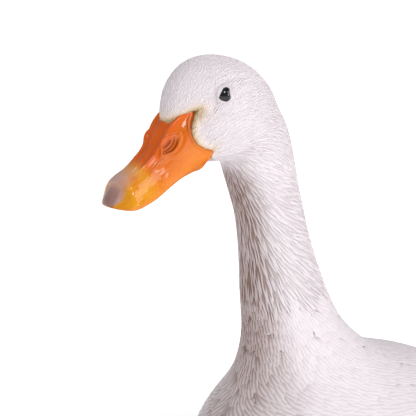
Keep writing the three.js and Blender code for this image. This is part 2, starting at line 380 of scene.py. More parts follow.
class Graph:
    """A material's nodes, added one by one and linked by name."""

    def __init__(self, name: str) -> None:
        """Starts an empty material."""
        self.material = bpy.data.materials.new(name)
        self.material.use_nodes = True
        self.tree = self.material.node_tree
        self.tree.nodes.clear()

    def add(self, kind: str, inputs: dict | None = None, **settings: object) -> bpy.types.Node:
        """Adds a node.

        Args:
            kind: The node's type, without its ShaderNode start.
            inputs: Values or output sockets for its inputs.
            settings: The node's own options.

        Returns:
            The node.
        """
        node = self.tree.nodes.new("ShaderNode" + kind)
        for name, value in settings.items():
            setattr(node, name, value)
        for name, value in (inputs or {}).items():
            if isinstance(value, bpy.types.NodeSocket):
                self.tree.links.new(value, node.inputs[name])
            else:
                node.inputs[name].default_value = value
        return node

    def attribute(self, name: str) -> bpy.types.NodeSocket:
        """The numbers painted on the mesh under a name."""
        return self.add("Attribute", attribute_name=name).outputs["Fac"]

    def math(self, operation: str, a: object, b: object = 0.0, c: object = 0.0) -> bpy.types.NodeSocket:
        """A Math node's result."""
        return self.add("Math", {0: a, 1: b, 2: c}, operation=operation).outputs[0]

    def blend(self, share: object, a: object, b: object, mode: str = "MIX") -> bpy.types.NodeSocket:
        """Two colours mixed by a share."""
        node = self.add("Mix", data_type="RGBA", blend_type=mode)
        for name, value in (("Factor_Float", share), ("A_Color", a), ("B_Color", b)):
            socket = next(i for i in node.inputs if i.identifier == name)
            if isinstance(value, bpy.types.NodeSocket):
                self.tree.links.new(value, socket)
            else:
                socket.default_value = value
        return next(o for o in node.outputs if o.identifier == "Result_Color")

    def noise(self, scale: float, detail: float = 3.0) -> bpy.types.NodeSocket:
        """Noise at a scale of one over metres, in the object's own coordinates."""
        where = self.add("TexCoord").outputs["Object"]
        return self.add("TexNoise", {"Vector": where, "Scale": scale, "Detail": detail}).outputs["Fac"]

    def surface(
        self, color: object, roughness: object, bumps: Sequence[tuple] = (), **extra: object,
    ) -> None:
        """Ends the material with a Principled shader.

        Args:
            color: A colour or an output socket.
            roughness: A number or an output socket.
            bumps: Pairs of (height socket, depth in metres), one on the other.
            extra: More inputs, with underscores for the spaces in their names.
        """
        inputs = {"Base Color": color, "Roughness": roughness}
        normal = None
        for height, depth in bumps:
            bump = self.add("Bump", {"Height": height, "Distance": depth})
            if normal is not None:
                self.tree.links.new(normal, bump.inputs["Normal"])
            normal = bump.outputs["Normal"]
        if normal is not None:
            inputs["Normal"] = normal
        inputs.update({name.replace("_", " "): value for name, value in extra.items()})
        shader = self.add("BsdfPrincipled", inputs)
        output = self.add("OutputMaterial")
        self.tree.links.new(shader.outputs[0], output.inputs[0])


def rgb(red: int, green: int, blue: int) -> tuple[float, float, float, float]:
    """A display colour of 0..255 as the linear colour of a paint."""
    linear = [((c / 255 + 0.055) / 1.055) ** 2.4 if c > 10 else c / 255 / 12.92 for c in (red, green, blue)]
    return (*linear, 1.0)


@dataclass(frozen=True)
class PlumageFinish:
    """Off-white paint with a brown wash and painted shade lying in the grooves, orange mist beside the bill,
    and painted olive shade along the bill's edge.

    It reads "crest" (1 on top of a feather, 0 in a groove, where the grey groove colour is painted shade),
    "wash" (how brown the place is), "mist" (how much bill paint drifted on to it) and "tone" (each feather's
    own lightness, about 0).
    """

    pale: tuple = rgb(243, 235, 241)
    groove: tuple = rgb(186, 174, 177)
    brown: tuple = rgb(140, 112, 100)
    mist: tuple = rgb(240, 206, 140)
    olive: tuple = rgb(128, 108, 52)

    def build(self) -> bpy.types.Material:
        """The material."""
        g = Graph("plumage")
        wash, crest = g.attribute("wash"), g.attribute("crest")
        blotch = g.noise(60.0, 4.0)
        # Painted shade: the grey groove colour darkens the plumage where "crest" is low, before the brown
        # wash goes on.
        low = g.math("SUBTRACT", 1.0, crest)
        depth = g.math("MULTIPLY", low, g.math("MULTIPLY_ADD", wash, 0.75, 0.45))
        color = g.blend(depth, self.pale, self.groove)
        film = g.math("MULTIPLY", wash, g.math("MULTIPLY_ADD", low, 0.75, 0.42))
        film = g.math("MULTIPLY", film, g.math("MULTIPLY_ADD", blotch, 0.9, 0.55))
        color = g.blend(film, color, self.brown)
        mist = g.attribute("mist")
        color = g.blend(g.math("MULTIPLY", mist, 0.8), color, self.mist)
        # Painted shade tinted olive: it darkens the grooves close to the bill's edge, over the orange mist.
        olive_shade = g.math("MULTIPLY", g.math("POWER", mist, 2.6), g.math("MULTIPLY_ADD", low, 1.0, 0.15))
        color = g.blend(olive_shade, color, self.olive)
        tone = g.math("MULTIPLY_ADD", g.attribute("tone"), 0.5, 0.5)
        grey = g.add("CombineColor", {"Red": tone, "Green": tone, "Blue": tone}).outputs[0]
        color = g.blend(0.10, color, grey, "OVERLAY")
        rough = g.math("MULTIPLY_ADD", g.noise(400.0), 0.16, 0.46)
        g.surface(color, rough, [(g.noise(1500.0, 2.0), 0.00006)], Specular_IOR_Level=0.4)
        return g.material


@dataclass(frozen=True)
class BillFinish:
    """Airbrushed orange under a gloss coat.

    It reads "along" and "round" (the place on the bill, which the streaks follow), "ridge" (1 along the
    top), "edge" (1 along the lower edge), "tip" (1 on the top towards the nail, where the pale mauve is a
    painted sheen), "front" (0 at the root to 1 at the tip), "pit" (painted shade: 1 in a hollow, along the
    face line and in the crease before the cheek's lip) and "nail".
    """

    orange: tuple = rgb(214, 104, 0)
    ridge: tuple = rgb(220, 92, 0)
    edge: tuple = rgb(230, 126, 0)
    yellow: tuple = rgb(226, 148, 4)
    # Mauve airbrush, lightened to a whitish pink that stands for a painted sheen on the tip's upper side.
    mauve: tuple = rgb(198, 160, 152)
    nail: tuple = rgb(142, 98, 92)
    hollow_shade: tuple = rgb(120, 36, 0)

    def build(self) -> bpy.types.Material:
        """The material."""
        g = Graph("bill_paint")
        where = {
            "X": g.math("MULTIPLY", g.attribute("along"), 7.0),
            "Y": g.math("MULTIPLY", g.attribute("round"), 26.0),
        }
        vector = g.add("CombineXYZ", where).outputs[0]
        fibres = {"Vector": vector, "Scale": 1.0, "Detail": 5.0, "Roughness": 0.6}
        streak = g.add("TexNoise", fibres).outputs["Fac"]
        cloud = g.noise(90.0, 5.0)
        drift = g.math("MULTIPLY_ADD", streak, 1.6, 0.15)
        mottle = g.math("MULTIPLY_ADD", cloud, 1.8, 0.05)
        color = g.blend(g.math("MULTIPLY", g.attribute("ridge"), drift), self.orange, self.ridge)
        color = g.blend(g.math("MULTIPLY", g.attribute("edge"), mottle), color, self.edge)
        color = g.blend(g.math("MULTIPLY", g.attribute("front"), mottle), color, self.yellow)
        dark = g.math("MULTIPLY", g.math("SUBTRACT", streak, 0.52), 3.2)
        color = g.blend(g.math("MULTIPLY", g.math("MAXIMUM", dark, 0.0), 0.75), color, self.ridge)
        # Painted sheen: the pale mauve on the top of the tip.
        color = g.blend(g.math("MULTIPLY", g.attribute("tip"), mottle), color, self.mauve)
        nail = g.math("MULTIPLY", g.attribute("nail"), g.math("MULTIPLY", mottle, 0.6))
        color = g.blend(nail, color, self.nail)
        # Painted shade in the hollows, along the face line and in the lip's crease.
        color = g.blend(g.math("MULTIPLY", g.attribute("hollow_shade"), 0.85), color, self.hollow_shade)
        rough = g.math("MULTIPLY_ADD", streak, 0.2, 0.26)
        bumps = [(streak, 0.0007), (g.noise(420.0, 3.0), 0.00018)]
        g.surface(color, rough, bumps, Specular_IOR_Level=0.15, Coat_Weight=0.7, Coat_Roughness=0.06)
        return g.material


@dataclass(frozen=True)
class EyeFinish:
    """Polished black."""

    black: tuple = rgb(4, 4, 6)
    cloud: tuple = rgb(12, 10, 11)

    def build(self) -> bpy.types.Material:
        """The material."""
        g = Graph("eye_bead")
        color = g.blend(g.noise(300.0), self.black, self.cloud)
        g.surface(color, 0.04, Specular_IOR_Level=0.6)
        return g.material


@dataclass(frozen=True)
class LegFinish:
    """Satin orange with a brown wash between the scales and painted shade in the webs' hollows. It reads
    "crest" as the plumage does.
    """

    orange: tuple = rgb(226, 112, 20)
    groove: tuple = rgb(140, 62, 14)
    patch: tuple = rgb(238, 146, 46)

    def build(self) -> bpy.types.Material:
        """The material."""
        g = Graph("leg_paint")
        where = g.add("TexCoord").outputs["Object"]
        cells = g.add("TexVoronoi", {"Vector": where, "Scale": 520.0}, feature="DISTANCE_TO_EDGE").outputs[0]
        scale = g.math("MINIMUM", g.math("MULTIPLY", cells, 5.0), 1.0)
        low = g.math("SUBTRACT", 1.0, g.math("MULTIPLY", g.attribute("crest"), scale))
        color = g.blend(g.math("MULTIPLY", low, 0.55), self.orange, self.groove)
        color = g.blend(g.math("MULTIPLY", g.noise(90.0, 4.0), 0.35), color, self.patch)
        rough = g.math("MULTIPLY_ADD", g.noise(300.0), 0.2, 0.28)
        bumps = [(scale, 0.00025), (g.noise(700.0), 0.0001)]
        g.surface(color, rough, bumps, Coat_Weight=0.25, Coat_Roughness=0.2)
        return g.material


@dataclass(frozen=True)
class ClawFinish:
    """Dark horn, paler in streaks."""

    horn: tuple = rgb(112, 78, 52)
    pale: tuple = rgb(176, 136, 96)

    def build(self) -> bpy.types.Material:
        """The material."""
        g = Graph("claw_horn")
        color = g.blend(g.noise(900.0, 4.0), self.horn, self.pale)
        rough = g.math("MULTIPLY_ADD", g.noise(1500.0), 0.2, 0.3)
        g.surface(color, rough, [(g.noise(2400.0), 0.0001)])
        return g.material


@dataclass(frozen=True)
class FloorFinish:
    """A plain white sweep, which glows more the further away it lies."""

    white: tuple = (0.93, 0.93, 0.93, 1.0)

    def build(self) -> bpy.types.Material:
        """The material."""
        g = Graph("floor_white")
        where = g.add("TexCoord").outputs["Object"]
        far = g.add("VectorMath", {0: where}, operation="LENGTH").outputs["Value"]
        glow = g.math("MINIMUM", g.math("MAXIMUM", g.math("MULTIPLY_ADD", far, 2.6, -1.2), 0.08), 0.8)
        g.surface(self.white, 0.9, Emission_Color=(1, 1, 1, 1), Emission_Strength=glow)
        return g.material


# ---------------------------------------------------------------- the duck's form


@dataclass(frozen=True)
class FaceLine:
    """The side outline where the bill meets the face, in the face's millimetres (y, z)."""

    line: tuple = (
        (-34, -19.8), (-20, -12.2), (-12.8, -8.4), (-13.2, -12), (-15, -15), (-17.2, -18), (-18.4, -21.5),
        (-18, -25.5), (-15.4, -30.2), (-10.8, -33.2), (-5.2, -34.6), (-4.6, -35.8), (-8, -41), (-14, -51),
    )
    beyond: tuple = ((-20, -90), (-120, -90), (-120, -23))

    def ahead(self, points: Array) -> Array:
        """How far points lie in front of the line, in millimetres, negative behind it."""
        outline = np.array(self.line + self.beyond, dtype=float)
        return -outline_distance(face_mm(points)[:, 1:], outline)

    @staticmethod
    def brow(points: Array) -> Array:
        """1 along the forehead's edge, 0 along the cheek's."""
        p = face_mm(points)
        return ease(p[:, 2] - 0.55 * p[:, 1], -8.0, 1.0)


@dataclass(frozen=True)
class EyeOpening:
    """The rim of the lids on a ball round the bead: millimetres (y, z) from the bead's middle."""

    ball: float = 6.85
    rim: tuple = (
        (-6.6, -0.7), (-5.7, 2.4), (-3.7, 5.1), (-1.4, 6.2), (0.1, 5.5), (0.0, 4.0), (-0.5, 2.8),
        (-0.3, -0.6), (-1.2, -2.3), (-3.1, -3.1), (-5.5, -2.2),
    )

    def outside(self, points: Array) -> Array:
        """How far points lie outside the rim, in millimetres, negative inside it."""
        ring = smooth_line(self.rim + self.rim[:1], 60)[:-1]
        local = mirrored(points) - EYE_NODE
        on_ball = unit(local) * self.ball
        behind = (local[:, 0] < 0.0) * 20.0
        far = np.maximum(np.linalg.norm(local, axis=1) / MM - self.ball - 6.0, 0.0)
        return outline_distance(on_ball[:, 1:], ring) + behind + far


@dataclass(frozen=True)
class NeckAxis:
    """The neck's middle in the face's millimetres, as y at each z."""

    z: tuple = (-240, -208, -175, -145, -119, -94, -77, -58, -28, 0)
    y: tuple = (98, 86, 73, 64, 58, 52, 48, 42, 33, 26)

    def turn(self, points: Array) -> Array:
        """The angle round the neck, 0 at the throat and pi at the nape, in radians."""
        p = face_mm(points)
        middle = np.interp(p[:, 2], self.z, self.y)
        return np.arctan2(p[:, 0], middle - p[:, 1])


FACE_LINE = FaceLine()
EYE_OPENING = EyeOpening()
NECK = NeckAxis()


def wash(points: Array) -> Array:
    """How brown the wash lies: deep down the throat, and faint elsewhere on the neck and in the hollows."""
    p = face_mm(points)
    turn = NECK.turn(points)
    down = -p[:, 2]
    throat = (1.0 - ease(turn, 0.15, 1.15)) * ease(down, 44.0, 66.0) * (1.0 - 0.6 * ease(down, 150.0, 230.0))
    sides = 0.05 * ease(down, 40.0, 80.0)
    return np.clip(0.04 + throat + sides * (1.0 - throat), 0.0, 1.0)


def mist(points: Array) -> Array:
    """How much of the bill's paint drifted on to the feathers beside it."""
    gap = np.maximum(-FACE_LINE.ahead(points), 0.0)
    p = face_mm(points)
    near = np.exp(-((gap / 2.9) ** 1.3)) * 0.86
    return near * ease(p[:, 2], -41.0, -31.0) * (1.0 - 0.35 * ease(p[:, 2], -10.0, 4.0))


def lie(points: Array, normals: Array) -> Array:
    """The way the feathers lie.

    Args:
        points: Places on the skin.
        normals: The skin's normals there.

    Returns:
        Unit vectors along the skin, from a feather's root to its tip.
    """
    p = face_mm(points)
    side = np.where(points[:, 0] < 0, -1.0, 1.0)
    zero = np.zeros(len(points))
    # The head: back and up from the bill's root, levelling out behind the eye and dropping at the nape.
    rise = np.radians(52.0 - 66.0 * ease(p[:, 1], -16.0, 48.0) - 22.0 * ease(-p[:, 2], 22.0, 44.0))
    head = np.stack([zero, np.cos(rise), np.sin(rise)], axis=1)
    # The neck: straight down at the throat, and sweeping round towards the nape higher up and further back.
    turn = NECK.turn(points)
    start = np.interp(p[:, 2], [-150, -113, -77, -50], [0.6, 0.25, -0.1, -0.5])
    most = np.interp(p[:, 2], [-215, -165, -138, -113, -77, -50], [8, 26, 42, 54, 62, 76])
    sweep = np.radians(most) * ease(turn, start, 2.0) * (1.0 - 0.75 * ease(turn, 2.3, math.pi))
    lean = unit(np.stack([zero, zero + 0.27, zero - 1.0], axis=1))
    round_neck = np.stack([side * np.cos(turn), np.sin(turn), zero], axis=1)
    neck = lean * np.cos(sweep)[:, None] + round_neck * np.sin(sweep)[:, None]
    # The trunk: down over the breast, then back.
    drop = np.interp(points[:, 1] / MM, [-170, -120, -60, 60], [1.2, 0.7, 0.3, 0.02])
    trunk = np.stack([zero, zero + 1.0, -drop], axis=1)
    leg = ease(-points[:, 2], -0.112, -0.092) * ease(np.abs(points[:, 0]), 0.01, 0.02)
    trunk = mix(trunk, np.stack([zero, zero + 0.35, zero - 1.0], axis=1), leg[:, None])
    way = mix(unit(head), neck, ease(-p[:, 2] - 0.25 * p[:, 1], 34.0, 54.0)[:, None])
    way = mix(unit(way), unit(trunk), ease(-p[:, 2], 160.0, 215.0)[:, None])
    way -= normals * np.sum(way * normals, axis=1)[:, None]
    return unit(way)


def face_point(y: float, z: float) -> tuple[float, float, float]:
    """A point of the median plane given in the face's millimetres, in metres."""
    return (0.0, FACE[1] + y * MM, FACE[2] + z * MM)


def flare(points: Array) -> Array:
    """How much the bill's sides widen towards the cheeks, in millimetres."""
    cheek = 1.0 - FACE_LINE.brow(points)
    return 2.2 * cheek * bell(np.maximum(FACE_LINE.ahead(points), 0.0), 0.0, 7.0)


# Where the halves of the bill meet, from the gape to the tip, as (y, z) in the face's millimetres.
BITE_LINE = (
    (4, -35), (-5, -38), (-12, -41), (-20.4, -45.4), (-29.4, -51.4), (-38.4, -57), (-48, -60.8),
    (-60, -63.6), (-69, -63),
)
BILL_FORM = Tube(
    np.array([face_point(y, z) for y, z in BITE_LINE]),
    (15.5, 16.6, 16.2, 14.8, 14, 14.8, 16.3, 17, 14),
    (29, 31, 28.6, 22.6, 19.8, 19.2, 18.4, 15.6, 10),
    (1.2,), (2.6, 2.6, 2.6, 2.4, 2.3, 2.2, 2.1, 2, 2), (0.06, 0.17),
)
LOWER_FORM = Tube(
    np.array([face_point(y - 0.5, z - 1.6) for y, z in BITE_LINE[:-1]]),
    (14.6, 14.9, 13.6, 12, 11.4, 12, 12.8, 11),
    (0.7,), (7, 6.6, 5.6, 4.6, 4, 3.4, 2.8, 2.2), (2.0,), (0.1, 0.2),
)
# The crease under each cheek, as (y, z) in the face's millimetres.
JOWL = (
    (-8, -44), (-3, -43.4), (1.8, -43.2), (4.8, -42.6), (9, -41.5), (15, -39.5), (22.4, -37.6), (30, -31),
)


@dataclass
class Skin:
    """The one skin under all the plumage, made from the flesh nodes.

    It is joined and remeshed, smoothed, made finer on the head, given lids and a groove for the bill, and
    drawn in by the depth of the carving over it.
    """

    nodes: tuple[str, ...] = (
        "head", "neck", "trunk", "tail", "wing_left", "wing_right", "thigh_left", "thigh_right",
    )
    helpers: tuple[str, ...] = ("bill_upper", "bill_lower", "eye_left", "eye_right")
    swell: float = 0.3 * MM
    voxel: float = 2.2 * MM
    rounds: int = 44
    settling: int = 220  # rounds of smoothing where the wings, thighs and neck join the trunk
    wing_cuts: tuple = (  # planes where the wings' flesh ends, as a point and the way out
        ((0.055, 0.108, 0.2), (0.75, 0.66, 0.0)), ((0.0, 0.135, 0.2), (0.0, 1.0, 0.0)),
    )
    core: float = 8.0  # how far the skin reaches into the bill, in millimetres

    def build(self, finish: bpy.types.Material) -> bpy.types.Object:
        """Makes the skin.

        Args:
            finish: The plumage's material.

        Returns:
            The skin's object.
        """
        obj = self.joined()
        self.soften(obj.data, self.rounds)
        self.settle(obj.data)
        self.refine(obj)
        self.soften(obj.data, 5)
        self.shape_jowl(obj.data)
        self.draw_in(obj.data)
        self.meet_bill(obj.data)
        self.end_in_bill(obj)
        self.open_eyes(obj.data)
        mesh = obj.data
        points = coordinates(mesh)
        # Painted shade: the skin shows only deep between the feathers, so it takes a low crest and the
        # grooves' darker colour.
        paint(mesh, "crest", np.full(len(points), 0.25))
        paint(mesh, "tone", np.zeros(len(points)))
        paint(mesh, "wash", wash(points))
        paint(mesh, "mist", mist(points))
        finish_piece(obj, Slot.PLUMAGE, finish, *self.nodes)
        return obj

    def joined(self) -> bpy.types.Object:
        """The nodes joined into one closed surface."""
        whole = bmesh.new()
        for node in self.nodes + self.helpers:
            part = node_copy(node)
            if node.startswith("wing"):
                self.clip(part, 1.0 if node.endswith("left") else -1.0)
            part.normal_update()
            for vertex in part.verts:
                vertex.co += vertex.normal * self.swell
            add_part(whole, part)
        return new_object("skin", remeshed(from_bmesh("skin_rough", whole), self.voxel, "skin"))

    def clip(self, part: bmesh.types.BMesh, sign: float) -> None:
        """Takes off a wing's thin tip on a slant; its feathers stand for it."""
        for (x, y, z), (across, back, up) in self.wing_cuts:
            geometry = part.verts[:] + part.edges[:] + part.faces[:]
            place, way = (sign * x, y, z), (sign * across, back, up)
            bmesh.ops.bisect_plane(part, geom=geometry, plane_co=place, plane_no=way, clear_outer=True)
            bmesh.ops.holes_fill(part, edges=[e for e in part.edges if e.is_boundary], sides=0)
            bmesh.ops.triangulate(part, faces=[f for f in part.faces if len(f.verts) > 3])
        bmesh.ops.recalc_face_normals(part, faces=part.faces[:])

    @staticmethod
    def averaged(mesh: bpy.types.Mesh, field: Array, rounds: int) -> Array:
        """A field of vectors after `rounds` steps half way to the mean of each vertex's neighbours."""
        edges = np.empty(len(mesh.edges) * 2, dtype=np.int64)
        mesh.edges.foreach_get("vertices", edges)
        a, b = edges.reshape(-1, 2).T
        size = len(mesh.vertices)
        count = np.maximum(np.bincount(np.concatenate([a, b]), minlength=size), 1)[:, None]
        for _ in range(rounds):
            sums = [np.bincount(a, field[b, k], size) + np.bincount(b, field[a, k], size) for k in range(3)]
            field = field * 0.5 + np.stack(sums, axis=1) / count * 0.5
        return field

    @staticmethod
    def soften(mesh: bpy.types.Mesh, rounds: int) -> None:
        """Rounds the facets off: averages the surface, then gives back what it lost of its larger form."""
        points = coordinates(mesh)
        smooth = Skin.averaged(mesh, points, rounds)
        move_to(mesh, smooth + Skin.averaged(mesh, points - smooth, rounds))

    def settle(self, mesh: bpy.types.Mesh) -> None:
        """Runs the wings, the thighs and the neck's foot smoothly into the trunk."""
        points = coordinates(mesh)
        _, y, z = points.T
        share = ease(-z, -0.315, -0.28) * ease(z, 0.080, 0.102) * (1.0 - 0.7 * ease(y, 0.14, 0.185))
        smooth = self.averaged(mesh, points, self.settling)
        move_to(mesh, mix(points, smooth, share[:, None]))

    def refine(self, obj: bpy.types.Object) -> None:
        """Divides the head's faces once, those along the bill's root once more, and those round the eyes
        twice more.
        """
        bm = bmesh.new()
        bm.from_mesh(obj.data)
        self.divide(bm, lambda p: face_mm(p)[:, 2] > -52.0)
        self.divide(bm, lambda p: np.abs(FACE_LINE.ahead(p)) * (1.0 + (face_mm(p)[:, 2] < -58)) < 3.0)
        for _ in range(2):
            self.divide(bm, self.near_eye)
        bm.to_mesh(obj.data)
        bm.free()

    @staticmethod
    def near_eye(points: Array) -> Array:
        """True close to either eye."""
        return np.linalg.norm(mirrored(points) - EYE_NODE, axis=1) < 10.5 * MM

    @staticmethod
    def divide(bm: bmesh.types.BMesh, where: Callable[[Array], Array]) -> None:
        """Cuts each edge in two whose middle satisfies `where`."""
        middles = np.array([(e.verts[0].co + e.verts[1].co)[:] for e in bm.edges]) / 2
        chosen = where(middles)
        edges = [edge for edge, yes in zip(bm.edges, chosen) if yes]
        bmesh.ops.subdivide_edges(bm, edges=edges, cuts=1, use_grid_fill=True, smooth=0.0)

    @staticmethod
    def depth(points: Array) -> Array:
        """How deep the carving over the skin is, in metres."""
        p = face_mm(points)
        return MM * (0.5 + 0.8 * ease(-p[:, 2], 42.0, 70.0) + 0.5 * ease(-p[:, 2], 150.0, 190.0))

    def draw_in(self, mesh: bpy.types.Mesh) -> None:
        """Moves the skin inwards by the coat's depth."""
        points = coordinates(mesh)
        move_to(mesh, points - vertex_normals(mesh) * (self.depth(points) + self.swell)[:, None])

    @staticmethod
    def shape_jowl(mesh: bpy.types.Mesh) -> None:
        """Fills the cheek's lower edge and creases the skin under it."""
        points = coordinates(mesh)
        p = face_mm(points)
        line = np.array(JOWL, dtype=float)
        level = np.interp(p[:, 1], line[:, 0], line[:, 1])
        above = p[:, 2] - level
        along = ease(p[:, 1], -9.0, -2.0) * (1.0 - ease(p[:, 1], 17.0, 31.0)) * ease(p[:, 0], 4.0, 9.0)
        fill = 1.6 * bell(above, 3.8, 3.0) - 1.7 * bell(above, -0.7, 1.7)
        move_to(mesh, points + vertex_normals(mesh) * (fill * along * MM)[:, None])

    @staticmethod
    def meet_bill(mesh: bpy.types.Mesh) -> None:
        """Brings the skin behind the face line to the bill's surface, the brow a little proud of it."""
        bm, _, _ = BILL_FORM.build(64, 90)
        tree = BVHTree.FromBMesh(bm)
        bm.free()
        points = coordinates(mesh)
        outward = vertex_normals(mesh)
        ahead = FACE_LINE.ahead(points)
        brow = FACE_LINE.brow(points)
        wide = flare(points) + 0.6 * (1.0 - brow) * ease(-ahead, 0.2, 2.0)
        most = (1.6 + 3.4 * ease(-face_mm(points)[:, 2], 11.0, 17.0)) * MM
        reach = 2.3 + 0.3 * brow
        pull = 1.0 - ease(-ahead, 0.3, 1.0) * ease(-ahead / reach, 0.0, 1.0)
        push = (1.0 - brow) * (1.0 - ease(-ahead, 2.5, 8.0)) * ease(-ahead, -0.6, 0.3)
        for i in np.flatnonzero((ahead > -8.0) & (ahead < 10.0)):
            place, normal, _, _ = tree.find_nearest(Vector(points[i]))
            height = (Vector(points[i]) - place).dot(normal)
            wanted = (0.55 * brow[i] - 0.15 + wide[i]) * MM
            if height > wanted:
                points[i] -= np.array(normal) * min(height - wanted, most[i]) * pull[i]
            elif normal.dot(Vector(outward[i])) > 0.5:
                points[i] += np.array(normal) * min(wanted - height, 3.0 * MM) * push[i]
        move_to(mesh, points)

    def end_in_bill(self, obj: bpy.types.Object) -> None:
        """Dips the skin under the bill in front of the face line, and closes it a little further on."""
        mesh = obj.data
        points = coordinates(mesh)
        ahead = FACE_LINE.ahead(points)
        dip = ease(ahead, 0.1, 1.3) * 2.0 * MM + ease(ahead, 1.0, self.core) * 3.0 * MM
        move_to(mesh, points - vertex_normals(mesh) * dip[:, None])
        bm = bmesh.new()
        bm.from_mesh(mesh)
        front = [v for v, far in zip(bm.verts, ahead) if far > self.core]
        bmesh.ops.delete(bm, geom=front, context="VERTS")
        rim = [e for e in bm.edges if e.is_boundary]
        bmesh.ops.holes_fill(bm, edges=rim, sides=0)
        bmesh.ops.triangulate(bm, faces=[f for f in bm.faces if len(f.verts) > 4])
        bmesh.ops.recalc_face_normals(bm, faces=bm.faces[:])
        bm.to_mesh(mesh)
        bm.free()

    @staticmethod
    def open_eyes(mesh: bpy.types.Mesh) -> None:
        """Shapes the lids: a thin rolled rim round each bead, and the skin dipping into the bead."""
        points = coordinates(mesh)
        side = np.where(points[:, 0] < 0, -1.0, 1.0)
        local = mirrored(points) - EYE_NODE
        radius = np.linalg.norm(local, axis=1)
        near = (radius < 13.0 * MM) & (local[:, 0] > 0.0)
        gap = EYE_OPENING.outside(points)
        roll = EYE_RADIUS + MM * (0.1 + 0.75 * ease(gap, 0.0, 0.7))
        cling = 1.0 - ease(gap, 0.8, 4.5)
        under = bell(gap, 3.0, 0.7) * ease(-local[:, 2] / MM, 0.5, 2.5) * 0.4 * MM
        lidded = np.maximum(mix(radius, roll, cling), EYE_RADIUS + 0.3 * MM * ease(gap, 0.0, 0.5)) - under
        inside = 1.0 - ease(gap, -0.35, 0.0)
        new = mix(lidded, EYE_RADIUS - 1.2 * MM, inside)
        local = np.where(near[:, None], local * (new / np.maximum(radius, 1e-6))[:, None], local)
        moved = EYE_NODE + local
        moved[:, 0] *= side
        move_to(mesh, moved)


# ---------------------------------------------------------------- the skin as a ground for feathers


@dataclass(frozen=True)
class Unwrap:
    """The skin laid flat: across is the angle round the duck's own axis, and up is the way along it."""

    axis: tuple = (
        (-0.215, 0.395), (-0.165, 0.425), (-0.128, 0.40), (-0.105, 0.33), (-0.085, 0.27), (-0.04, 0.20),
        (0.03, 0.175), (0.12, 0.17), (0.23, 0.21),
    )

    def place(self, points: Array) -> Array:
        """The place of points of the skin on the flat, as an (n, 2) array."""
        line = smooth_line(self.axis, 160)
        yz = points[:, 1:]
        nearest = np.argmin(((yz[:, None, :] - line[None]) ** 2).sum(axis=2), axis=1)
        way = np.gradient(line, axis=0)[nearest]
        out = yz - line[nearest]
        rise = (way[:, 0] * out[:, 1] - way[:, 1] * out[:, 0]) / np.linalg.norm(way, axis=1)
        angle = np.arctan2(points[:, 0], rise)
        return np.stack([0.5 + angle / (2 * math.pi), nearest / (len(line) - 1.0)], axis=1)


class Ground:
    """The finished skin, for finding places and directions on it."""

    def __init__(self, skin: bpy.types.Object) -> None:
        """Reads the skin's mesh."""
        mesh = skin.data
        mesh.calc_loop_triangles()
        self.points = coordinates(mesh)
        self.normals = vertex_normals(mesh)
        triangles = np.empty(len(mesh.loop_triangles) * 3, dtype=np.int64)
        mesh.loop_triangles.foreach_get("vertices", triangles)
        self.triangles = triangles.reshape(-1, 3)
        self.tree = BVHTree.FromPolygons(self.points.tolist(), self.triangles.tolist())
        corners = self.points[self.triangles]
        cross = np.cross(corners[:, 1] - corners[:, 0], corners[:, 2] - corners[:, 0])
        self.areas = np.linalg.norm(cross, axis=1) / 2

    def sample(
        self, count: int, where: Callable[[Array], Array], rng: np.random.Generator,
    ) -> tuple[Array, Array]:
        """Random places, even over the area where `where` is true.

        Args:
            count: How many to try over the whole skin.
            where: True for the points that are wanted.
            rng: The source of chance.

        Returns:
            The points and their normals.
        """
        corners = self.triangles[rng.choice(len(self.areas), count, p=self.areas / self.areas.sum())]
        r = np.sqrt(rng.random((count, 1)))
        t = rng.random((count, 1))
        shares = np.concatenate([1 - r, r * (1 - t), r * t], axis=1)
        points = np.einsum("nk,nkd->nd", shares, self.points[corners])
        normals = unit(np.einsum("nk,nkd->nd", shares, self.normals[corners]))
        keep = where(points)
        return points[keep], normals[keep]

    def nearest(self, points: Array) -> tuple[Array, Array]:
        """The skin's nearest points to the given ones, and its smooth normals there."""
        found = np.empty_like(points)
        faces = np.empty(len(points), dtype=np.int64)
        for i, point in enumerate(points):
            place, _, face, _ = self.tree.find_nearest(Vector(point))
            found[i] = place
            faces[i] = face
        corners = self.triangles[faces]
        weight = 1.0 / np.maximum(np.linalg.norm(self.points[corners] - found[:, None], axis=2), 1e-5)
        normals = np.einsum("nk,nkd->nd", weight, self.normals[corners])
        return found, unit(normals)


def thin_out(points: Array, ways: Array, along: Array, across: Array) -> Array:
    """Keeps the points that aren't too close to one already kept.

    Args:
        points: Candidates, in random order.
        ways: The lie at each.
        along: The least distance along the lie, for each point.
        across: The least distance across it.

    Returns:
        The indices kept.
    """
    cell = float(along.max())
    grid: dict[tuple[int, int, int], list[int]] = {}
    keys = np.floor(points / cell).astype(int)
    kept: list[int] = []
    near = [(i, j, k) for i in (-1, 0, 1) for j in (-1, 0, 1) for k in (-1, 0, 1)]
    for index in range(len(points)):
        x, y, z = keys[index]
        around = [other for i, j, k in near for other in grid.get((x + i, y + j, z + k), ())]
        if around:
            gap = points[around] - points[index]
            lengthwise = gap @ ways[index]
            sideways = np.maximum(np.einsum("nd,nd->n", gap, gap) - lengthwise**2, 0.0)
            if np.any((lengthwise / along[index]) ** 2 + sideways / across[index] ** 2 < 1.0):
                continue
        grid.setdefault((x, y, z), []).append(index)
        kept.append(index)
    return np.array(kept, dtype=np.int64)


